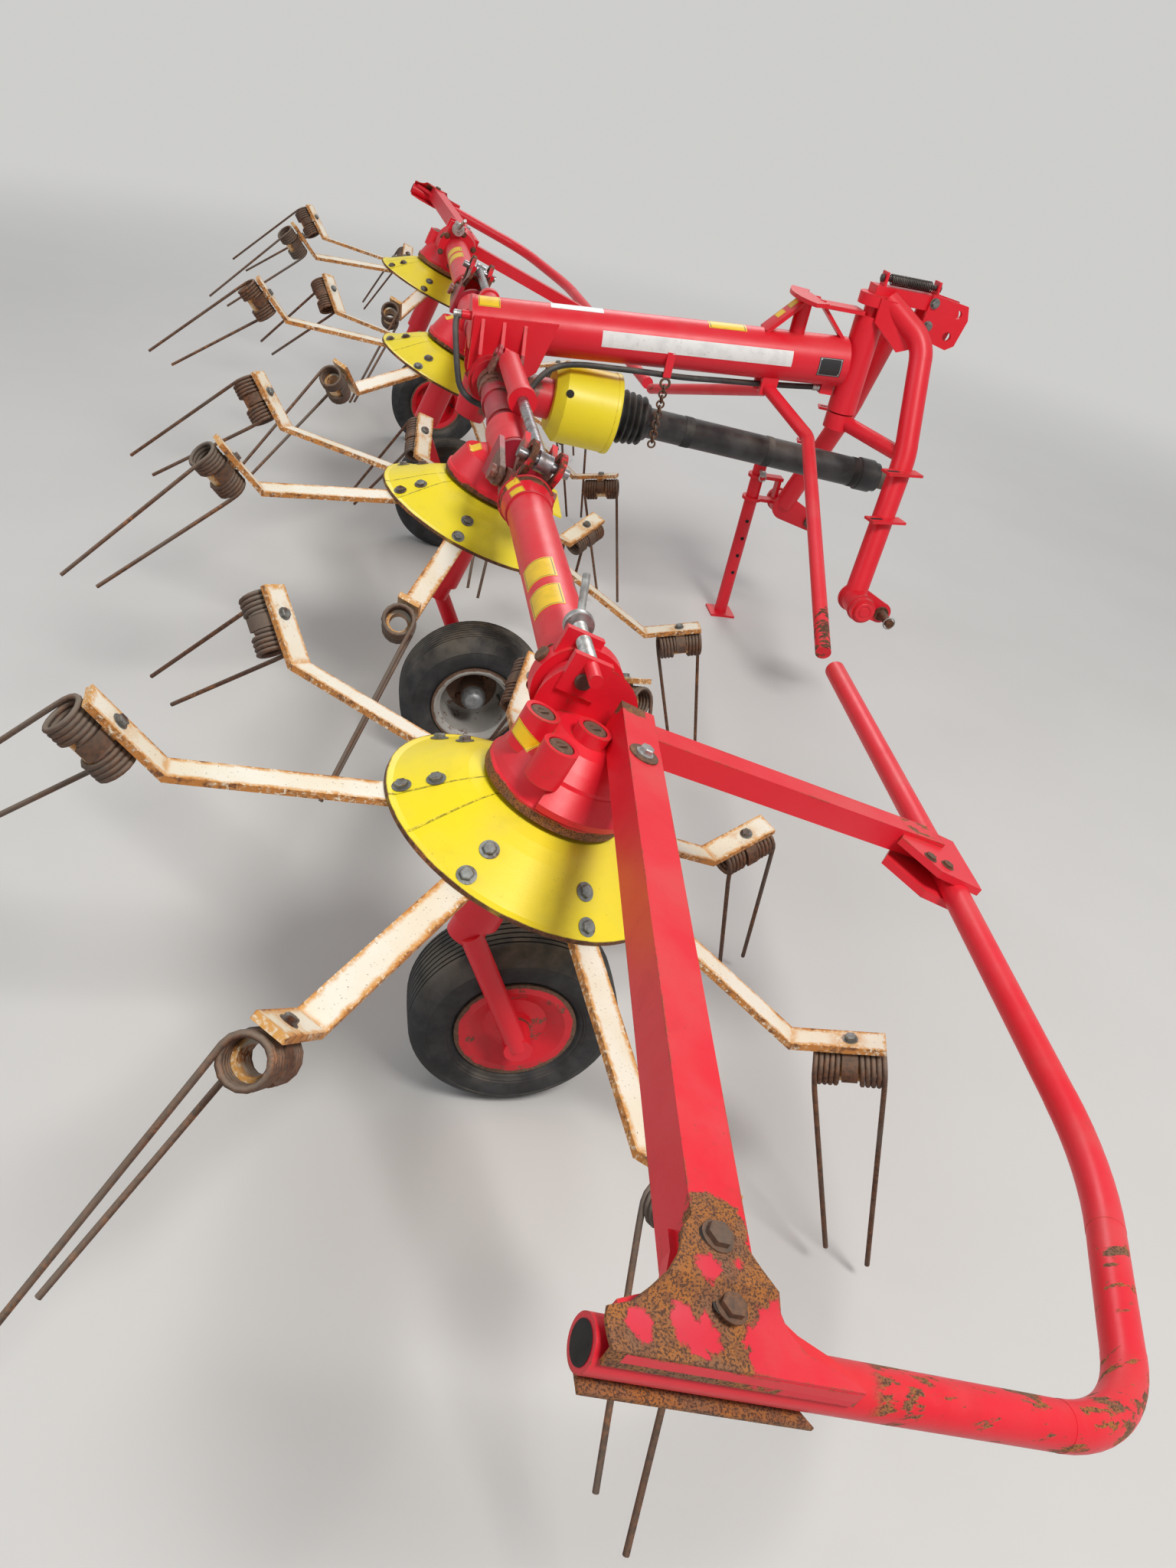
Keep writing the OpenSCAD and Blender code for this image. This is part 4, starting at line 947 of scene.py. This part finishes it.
def dress_gearbox(w):
    side, body, node = w["side"], f"wing_{w['side']}", f"outer_gearbox_{w['side']}"

    def spot(u, y, h):
        """A place in the gearbox's own frame; y runs inward from the rotor's axis."""
        return in_row(u, w["y"] - w["s"] * y, DRIVE_H + h)

    def on_spindle(y):
        return spot(SPINDLE_U, y, SPINDLE_H)

    plugs = []
    for u, y in PLUGS:
        floor, _ = touch(node, spot(u, y, BESIDE), -UP)
        nub = plate(oblong(0.012, 0.0028), 0.003, 0.0006)
        plugs += [lathe(PLUG, floor + UP * 0.0002, UP),
                  placed(nub, floor + UP * 0.0058, UP, AXIS_U + AXIS_Y * 0.6)]
    add_parts(f"gear_plugs_{side}", body, "rusty_steel", dull_rust, *plugs)
    # Threaded spindle, its knob and its handle
    along = (spot(0, 1, 0) - spot(0, 0, 0)).normalized()
    rods = [placed(threaded(0.074, SPINDLE_R), on_spindle(0.068), along),
            placed(threaded(0.036, SPINDLE_R), on_spindle(0.158), along),
            lathe(KNOB, on_spindle(0.196), along, 28)]
    add_parts(f"spindle_thread_{side}", body, "dark_steel", zinc, *rods, angle=30)
    grip = (spot(0, 0.866, 0.5) - spot(0, 0, 0)).normalized()
    path = [on_spindle(0.2) + grip * d for d in (0.004, 0.03, 0.06, 0.09, 0.1105)]
    add_piece(f"spindle_handle_{side}", pipe(path, 0.0072, zinc, 12), body)
    # Pin heads on the outer ear and on the collar's rear side, and a bolt circle on the collar
    heads = [touch(node, spot(SPINDLE_U, -0.25, 0.056), along), touch(node, spot(-0.25, 0.161, 0.026), AXIS_U)]
    pins = [lathe(PIN_HEAD, *head) for head in heads]
    add_parts(f"ear_pins_{side}", body, "rusty_steel", dull_rust, *pins)
    ring = [(spot(COLLAR_R * cos(a), 0.3, COLLAR_R * sin(a)), -along)
            for a in [t + pi / 6 for t in full_turn(6)]]
    bolts_on(f"collar_bolts_{side}", body, node, ring, 0.017, 0.01, dull_rust)
    label(f"gear_label_{side}", body, node, spot(-0.108, -0.03, -0.03),
          UP * 0.5 - AXIS_U + AXIS_Y * w["s"] * 0.28, UP, 0.042, 0.024, columns=10, rows=6)


# ---- guards
# Edge of the outer gusset from its narrow end on the arm to the tube: (y, left, right, height)
GUSSET = mm([(-958, -91, -44, 264.2), (-972, -104, -42, 264.2), (-986, -109, -36, 264), (-1000, -115, -29, 264),
             (-1019, -128, -16, 263), (-1030, -141, -9, 250), (-1040, -157, 0, 243), (-1046, -180, 7, 240.5),
             (-1056, -182, 20, 237.5), (-1066, -181, 52, 236.2), (-1076, -180, 72, 236),
             (-1080.6, -180, 76, 235.2), (-1081.2, -179, 76, 214)])
GUSSET_COLUMNS, GUSSET_THICK = 14, 0.0042
LOWER_GUSSET = mm([(-177, -1081.2), (62, -1081.2), (36, -1050), (-20, -1020), (-50, -1000), (-130, -1000),
                   (-177, -1035)])
LOWER_THICK, LOWER_H = 0.006, 0.1728
GUSSET_BOLTS = mm([(-70, -977, 264.2), (-62, -1033, 249)])
CLAMP_BOLTS, ARM_PIVOT, TUBE_MOUTH = ((0.69, -0.015), (0.728, -0.02)), (0.04, -0.124), (-0.1842, -1.055, 0.2)
WASHER = mm([(0, 0), (24.5, 0), (24.5, 2.2), (23.5, 3), (0, 3)])


def guard_spot(s, u, y, h):
    """A place in the row's frame, y inward from the outer rotor's axis (negative is outward)."""
    return in_row(u, s * (2.1 - y), h)


# What paint is left on the near gusset
LEFT_PAINT = [(-152, -1057, 238, 4, 22), (-107, -1046, 240, 4, 26), (-88, -1057, 238, 6, 32),
              (-86, -1008, 258, 2, 22), (-52, -1000, 260, 2, 16), (-12, -1055, 238, 18, 46),
              (20, -1068, 236, 24, 52), (60, -1076, 232, 30, 60)]
GUSSET_PAINT = {
    "right": worn_paint("gusset_rust", (0.7, 0.012, 0.03), (0.62, 0.03, 0.055), wear=0.8, gloss=0.4,
                        left=marks(LEFT_PAINT, lambda *at: guard_spot(-1, *at))),
    "left": worn_paint("gusset_red", wear=1.3, gloss=0.4,
                       spots=[(tuple(guard_spot(1, -0.1, -1.03, 0.24)), 0.0, 0.05)]),
}


def dress_guard(w):
    side, s, body, node = w["side"], w["s"], f"wing_{w['side']}", f"guard_{w['side']}"
    paint = GUSSET_PAINT[side]
    rows = [[guard_spot(s, left + (right - left) * k / GUSSET_COLUMNS, y, h) for k in range(GUSSET_COLUMNS + 1)]
            for y, left, right, h in GUSSET]
    bent = sheet_over(rows, GUSSET_THICK)
    add_piece(f"gusset_{side}", mesh_from(bent, 40), body, paint)
    low = plate([(u, -s * y) for u, y in LOWER_GUSSET], LOWER_THICK)
    add_parts(f"lower_gusset_{side}", body, "red_paint", paint,
              placed(low, guard_spot(s, 0, 0, LOWER_H), UP, AXIS_U))
    heads = [(guard_spot(s, *at), UP) for at in GUSSET_BOLTS]
    bolts_at(f"gusset_bolts_{side}", body, heads, 0.0225, 0.0085, dull_rust)
    # Thin near-black discs beside the bolt heads: painted shade standing for the holes in the gusset
    holes = [disc(0.0105, 0.0004, place - AXIS_U * 0.0085, way) for place, way in heads]
    add_parts(f"gusset_holes_{side}", body, "rusty_steel", hole_shade_black, *holes)
    # Pivot bolt and washer where the short arm meets the long one
    top, _ = touch(node, guard_spot(s, *ARM_PIVOT, ABOVE), -UP)
    add_parts(f"arm_washer_{side}", body, "rusty_steel", dull_rust, lathe(WASHER, top, UP, 28))
    bolts_at(f"arm_bolt_{side}", body, [(top + UP * 0.003, UP)], 0.02, 0.012, zinc)
    rays = [(guard_spot(s, u, y, ABOVE), -UP) for u, y in CLAMP_BOLTS]
    bolts_on(f"clamp_bolts_{side}", body, node, rays, 0.018, 0.006, dull_rust)
    # Near-black disc across the tube's end: painted shade standing for its open, hollow mouth
    mouth = disc(0.0185, 0.0006, guard_spot(s, *TUBE_MOUTH), -AXIS_U, 24)
    add_parts(f"tube_mouth_{side}", body, "black_plastic", hole_shade_black, mouth)


# ---- wing tubes
def dress_wing(w):
    side, s, body, tube = w["side"], w["s"], f"wing_{w['side']}", f"wing_tube_{w['side']}"
    lean = UP * 0.62 - AXIS_U
    for k, y in enumerate((1.562, 1.684)):
        label(f"wing_label_{k + 1}_{side}", body, tube, in_row(0, s * y, DRIVE_H) + lean * 0.02, lean,
              (0, -s, 0), 0.066, 0.088)
    for k, (y, radius) in enumerate(((1.0885, 0.0618), (1.1605, 0.0508))):
        ring = [in_row(radius * cos(a), s * y, DRIVE_H + radius * sin(a)) for a in full_turn(48, 1)]
        add_piece(f"cuff_weld_{k + 1}_{side}", pipe(ring, 0.0036, weld_red), body)
    for k, y in enumerate((1.104, 1.142)):
        label(f"cuff_label_{k + 1}_{side}", body, tube, in_row(0, s * y, DRIVE_H) + lean * 0.045,
              UP * 0.1 - AXIS_U, (0, -s, 0), 0.03, 0.024, columns=8, rows=6)


# ---- hose
# Route of the black hose, the same as its CAD solid's, from the beam's rear end to its front;
# x from the row's axis, z from the ground
HOSE = mm([(-49.3, -40, 1050), (-57, -40, 1050), (-66, -50, 1032), (-58, -80, 975), (-48, -104, 915),
           (-34, -124, 858), (10, -136, 828), (70, -138, 820), (130, -128, 838), (174, -112, 880),
           (204, -100, 930), (250, -88, 962), (320, -78, 974), (420, -74, 977), (520, -66, 980),
           (640, -44, 976), (760, -20, 980), (900, 0, 986), (1010, 0, 996), (1098, 0, 1006),
           (1109.5, 0, 1006.5)])
HOSE_D, HOSE_LENGTH = 0.018, 1.439
CRIMP = mm([(0, 0.5), (10.5, 0.5), (11.5, 2), (11.5, 9), (10.5, 10), (10.5, 13), (11.5, 14), (11.5, 22),
            (10, 24), (0, 24)])


def rounded(points, rounds=2):
    """Route with its corners cut, its ends kept."""
    for _ in range(rounds):
        cut = [points[0]]
        for a, b in zip(points, points[1:]):
            cut += [a.lerp(b, 0.25), a.lerp(b, 0.75)]
        points = cut + [points[-1]]
    return points


def lay_hose():
    route = rounded([Vector((ROW_X + x, y, z)) for x, y, z in HOSE])
    ends = [add_parts(f"hose_crimp_{k}", "frame", "dark_steel", zinc, lathe(CRIMP, end, inward - end, 20))
            for k, end, inward in ((1, route[0], route[3]), (2, route[-1], route[-4]))]
    hose = add_piece("rear_hose", pipe(route, HOSE_D / 2, hose_black, 16), "frame",
                     replaces=["pressure_hose"])


# ---- drive shaft
SHAFT_Z, SHAFT_DROP = ROW_Z + DRIVE_H * cos(TILT) - 0.0342, radians(4.4)
SHAFT_WAY = Vector((cos(SHAFT_DROP), 0, -sin(SHAFT_DROP)))
BELLOWS_X, BELLOWS_L, BELLOWS_R, RIBS = 0.4, 0.168, 0.082, 8
RIB = [(0.0, 0.0), (0.0055, 0.22), (0.01, 0.36), (0.0118, 0.52), (0.01, 0.68), (0.005, 0.82)]
GUARD_TUBE = mm([(60, 568), (56, 578), (50, 582), (47, 586), (47, 1326), (53, 1330), (53, 1380), (47, 1384),
                 (47, 1400)])
GUARD_INSIDE = mm([(41, 1400), (41, 1381), (26.2, 1380), (26.2, 1331), (41, 1330), (41, 660), (30, 655),
                   (30, 400)])
BELL_LIP = mm([(121.5, 447), (123.8, 448), (124.4, 451.5), (124.4, 460), (123.6, 463.2), (121.5, 463.4)])


def on_shaft(x):
    return Vector((ROW_X, 0, SHAFT_Z)) + SHAFT_WAY * x


def dress_shaft():
    bellows = [(BELLOWS_R - 0.0026 * k + lift, BELLOWS_X + (k + share) * BELLOWS_L / RIBS)
               for k in range(RIBS) for lift, share in RIB]
    guard = lathe(bellows + GUARD_TUBE + GUARD_INSIDE, on_shaft(0), SHAFT_WAY, 56, True)
    add_parts("ribbed_shaft_guard", "frame", "black_plastic", shaft_black, guard, angle=40,
              replaces=["shaft_guard"])
    # Three thin black rings round the guard tube: painted shadow bands where shade crosses the tube
    bands = []
    for x, wide in ((0.7, 0.03), (0.985, 0.024), (1.3, 0.02)):
        band = [(0.0466, 0), (0.048, 0.0006), (0.0484, 0.003), (0.0484, wide - 0.003), (0.048, wide - 0.0006),
                (0.0466, wide)]
        bands.append(lathe(band, on_shaft(x), SHAFT_WAY, 48, True))
    add_parts("shaft_guard_bands", "frame", "black_plastic", tyre_black, *bands)
    add_parts("bell_lip", "frame", "yellow_paint", yellow, lathe(BELL_LIP, on_shaft(0), SHAFT_WAY, 72, True))
    # Near-black disc on the bell: painted shade standing for the open hole
    start = on_shaft(0.3) + Vector((0, -0.3, 0.16))
    hole = touch("drive_bell", start, on_shaft(0.3) - start)
    plug = lathe([(0, 0), (0.0125, 0), (0.0125, 0.0008), (0.011, 0.0012), (0, 0.001)], *hole, 20)
    add_parts("bell_hole_plug", "frame", "black_plastic", hole_shade_black, plug)


# ---- beam
BEAM_RISE, BEAM_Z, DATA_PLATE_X = radians(3.4), 1.027, 1.096
ALONG_BEAM = Vector((cos(BEAM_RISE), 0, sin(BEAM_RISE)))
# name, place along the beam, way out of its face, width, height, foil
BEAM_LABELS = [("beam_label_rear", 0.027, (0, -0.35, 0.93), 0.064, 0.052, foil_yellow),
               ("beam_label_front", 0.756, (0, -0.25, 1), 0.12, 0.042, foil_yellow),
               ("beam_stripe_side", 0.67, (0, -1, 0.1), 0.6, 0.046, foil_white),
               ("beam_stripe_top", 0.29, (0, -0.12, 1), 0.16, 0.04, foil_white),
               ("data_plate", DATA_PLATE_X, (0, -1, -0.08), 0.076, 0.056, foil_black)]
STAY_LOW, STAY_HIGH, STAY_TOP = Vector((ROW_X + 0.882, 0, 1.1475)), Vector((ROW_X + 0.98, 0, 1.2514)), 0.0068


def beam_spot(x, y=0.0, up=0.0):
    """A place on the beam's middle line, x metres from the row."""
    return Vector((ROW_X + x, y, BEAM_Z + x * tan(BEAM_RISE) + up))


def dress_beam():
    for name, x, out, width, height, foil in BEAM_LABELS:
        out = Vector(out).normalized()
        up = out.cross(ALONG_BEAM)
        label(name, "frame", "main_beam", beam_spot(x) + out * 0.06, out, up, width, height, foil, 24)
    rivets = [touch("main_beam", beam_spot(DATA_PLATE_X + a, -0.3, -0.005 + b), (0, 1, 0))
              for a in (-0.033, 0.033) for b in (-0.022, 0.022)]
    rivets = [(place + way * 0.0007, way) for place, way in rivets]
    bolts_at("plate_rivets", "frame", rivets, 0.004, 0.0016, zinc)
    # Plate over the two stay bars, with two labels
    slope = (STAY_HIGH - STAY_LOW).normalized()
    out = Vector((-slope.z, 0, slope.x))
    sheet = plate(oblong((STAY_HIGH - STAY_LOW).length / 2, 0.037), 0.003, 0.0008)
    add_parts("stay_plate", "frame", "red_paint", red,
              placed(sheet, (STAY_LOW + STAY_HIGH) / 2 + out * STAY_TOP, out, slope))
    for k, share, height in ((1, 0.8, 0.034), (2, 0.46, 0.03)):
        middle = STAY_LOW.lerp(STAY_HIGH, share) + out * STAY_TOP + Vector((0, 0.012, 0))
        label(f"stay_label_{k}", "frame", "stay_plate", middle, out, slope, 0.04, height, columns=6, rows=4)


# ---- headstock and stand
PIVOT_X, PIVOT_TOP, HITCH_HALF = 1.205, 1.276, 0.439
BOSS, PIN = Vector((ROW_X + 1.267, 0, 0.473)), Vector((ROW_X + 1.38, 0, 0.432))
BOSS_CAP = mm([(0, -1), (30, -1), (30, 1.6), (28.5, 3), (21.5, 3.2), (20, 1.2), (16.5, 1.2), (15, 3.6), (0, 4)])
POST_BACK, STAND_PIN_Z, STAND_HOLES = 0.117, 0.585, (0.18, 0.25, 0.32, 0.39)
STAND_CAP = mm([(0, 616), (22.5, 616), (24.5, 618.5), (24.5, 621.5), (22.5, 624.5), (0, 625.5)])
SPRING_TURNS, SPRING_STEPS, SPRING_LENGTH, SPRING_R = 23, 14, 0.136, 0.015
SLOT_HALF, SLOT_R = 0.018, 0.006
LEG_WEB = mm([(-4, 54, 1306), (-4, 54, 1236), (78, 92, 1168), (118, 111, 1190), (96, 90, 1262), (40, 71, 1306)])


def dress_spring():
    """Close-wound tension spring on its guide rod, with a nut at each end."""
    middle = Vector((ROW_X + PIVOT_X + 0.098, 0, PIVOT_TOP + 0.08))
    count = SPRING_TURNS * SPRING_STEPS
    coil = []
    for k in range(count + 1):
        a = 2 * pi * k / SPRING_STEPS
        coil.append(middle + Vector((SPRING_LENGTH * (k / count - 0.5), SPRING_R * cos(a), SPRING_R * sin(a))))
    rod = placed(threaded(0.196, 0.008), middle - Vector((0.098, 0, 0)), (1, 0, 0))
    nuts = [placed(hex_bolt(0.0215, 0.006, 1.0), middle + Vector((s * 0.0945, 0, 0)), (s, 0, 0))
            for s in (-1, 1)]
    wound = bmesh.new()
    wound.from_mesh(pipe(coil, 0.0022))
    add_parts("spring_coil", "headstock", "dark_steel", spring_dark, wound, rod, *nuts, angle=45,
              replaces=["centring_spring"])


def dress_headstock():
    half = [(-SLOT_HALF - SLOT_R * sin(a), SLOT_R * cos(a)) for a in [pi * k / 8 for k in range(9)]]
    slot = half + [(-u, -v) for u, v in half]
    caps, slots, rims = [], [], []
    for s in (-1, 1):
        caps.append(lathe(BOSS_CAP, BOSS + Vector((0, s * (HITCH_HALF + 0.064), 0)), (0, s, 0), 32))
        for off in (0.03, -0.04):
            rims.append([BOSS + Vector((0.0405 * cos(a), s * (HITCH_HALF + off), 0.0405 * sin(a)))
                         for a in full_turn(40, 1)])
        # Slot-shaped near-black insets: painted shade standing for the open slots
        for x, y, z in ((0.12, 0.322, 0.868), (0.096, 0.366, 0.728)):
            inset = plate(slot, 0.0004, 0)
            turn = Matrix.Rotation(radians(-s * 14), 4, "Z") @ Matrix.Translation((-0.036, 0, 0.0042))
            inset.transform(Matrix.Translation((ROW_X + PIVOT_X + x, s * y, z)) @ turn)
            slots.append(inset)
    add_parts("boss_caps", "headstock", "red_paint", red, *caps)
    add_parts("hook_slots", "headstock", "black_plastic", hole_shade_black, *slots)
    # Webs between the pivot's head and the legs
    for side, s in SIDES:
        faces = [[(ROW_X + PIVOT_X + x, s * (y + off), z) for x, y, z in LEG_WEB] for off in (-0.004, 0.004)]
        web = loft(bmesh.new(), faces)
        bmesh.ops.triangulate(web, faces=[f for f in web.faces if len(f.verts) > 4])
        add_parts(f"leg_web_{side}", "headstock", "red_paint", red, web)
    for k, ring in enumerate(rims):
        add_piece(f"boss_weld_{k + 1}", pipe(ring, 0.0034, weld_red), "headstock")
    # Spring clip rings through the free ends of the lower pins
    for side, s in SIDES:
        tip = PIN + Vector((0, s * (HITCH_HALF + 0.029), 0))
        loop = [tip + Vector((0.019 * cos(a), s * 0.0015 * sin(a * 0.5), 0.019 * sin(a)))
                for a in full_turn(32, 1)]
        add_piece(f"pin_ring_{side}", pipe(loop, 0.0021, zinc), "headstock")
    # Bolts that hold the top link cheeks
    rays = [(Vector((ROW_X + PIVOT_X + 0.176, s * 0.3, z)), (0, -s, 0))
            for s in (-1, 1) for z in (1.318, 1.25)]
    bolts_on("cheek_bolts", "headstock", "top_link_bracket", rays, 0.022, 0.011, bolt_grey)


def dress_stand():
    post = Vector((BOSS.x - POST_BACK, HITCH_HALF, 0))
    pin = [(0, -0.05), (0.0075, -0.05), (0.0075, 0.046), (0.006, 0.05), (0, 0.05)]
    head = [(0, -0.056), (0.012, -0.056), (0.012, -0.05), (0, -0.05)]
    add_parts("stand_pin", "stand", "dark_steel", zinc,
              *[lathe(one, post + Vector((0, 0, STAND_PIN_Z)), (0, 1, 0), 16) for one in (pin, head)])
    ring = [post + Vector((0.013 * sin(a), -0.058, STAND_PIN_Z + 0.013 * (cos(a) - 1)))
            for a in full_turn(24, 1)]
    add_piece("stand_pin_ring", pipe(ring, 0.0022, zinc), "stand")
    # Near-black discs on both faces of the post: painted shade standing for the pin holes
    holes = [disc(0.007, 0.0018, post + Vector((0, s * 0.0225, z)), (0, s, 0), 16)
             for s in (-1, 1) for z in STAND_HOLES]
    add_parts("stand_holes", "stand", "black_plastic", hole_shade_black, *holes)
    add_parts("stand_cap", "stand", "black_plastic", worn_black, lathe(STAND_CAP, post, (0, 0, 1), 28))


# ---- inner gearboxes
def dress_inner_gearboxes():
    for side, s in SIDES:
        label(f"dome_label_{side}", "frame", "inner_gearboxes", in_row(-0.08, s * 0.7, 0.16),
              UP - AXIS_U, (0, 1, 0), 0.03, 0.05, columns=6, rows=10)


# ---- floor
def lay_floor():
    """Pale floor that keeps the shadows near the machine and runs into the backdrop further out."""
    bm = bmesh.new()
    bmesh.ops.create_grid(bm, x_segments=1, y_segments=1, size=40)
    mesh = bpy.data.meshes.new("floor")
    bm.to_mesh(mesh)
    bm.free()
    f = Finish("floor_pale")
    f.finish(f.mix(f.patches(0.3, 0.7, 1.2, 3), (0.615, 0.61, 0.595), (0.635, 0.63, 0.615)), 0.9)
    far = f.span(f.vector("LENGTH", f.object)["Value"], 3.6, 8.5) * seen_or_mirrored(f.tree)
    glow = f.node("ShaderNodeEmission", {"Color": BACKDROP})[0]
    both = f.node("ShaderNodeMixShader", {0: far, 1: f.shader.outputs[0], 2: glow})[0]
    feed(f.tree, f.tree.nodes["Material Output"].inputs["Surface"], both)
    mesh.materials.append(f.material)
    in_scene("floor", mesh)


for dress, given in ((dress_rotor, ROTORS), (dress_wheel, ROTORS), (dress_gearbox, WINGS), (dress_guard, WINGS),
                     (dress_wing, WINGS)):
    for one in given:
        dress(one)
for dress in (lay_hose, dress_shaft, dress_beam, dress_spring, dress_headstock, dress_stand,
              dress_inner_gearboxes, lay_floor):
    dress()
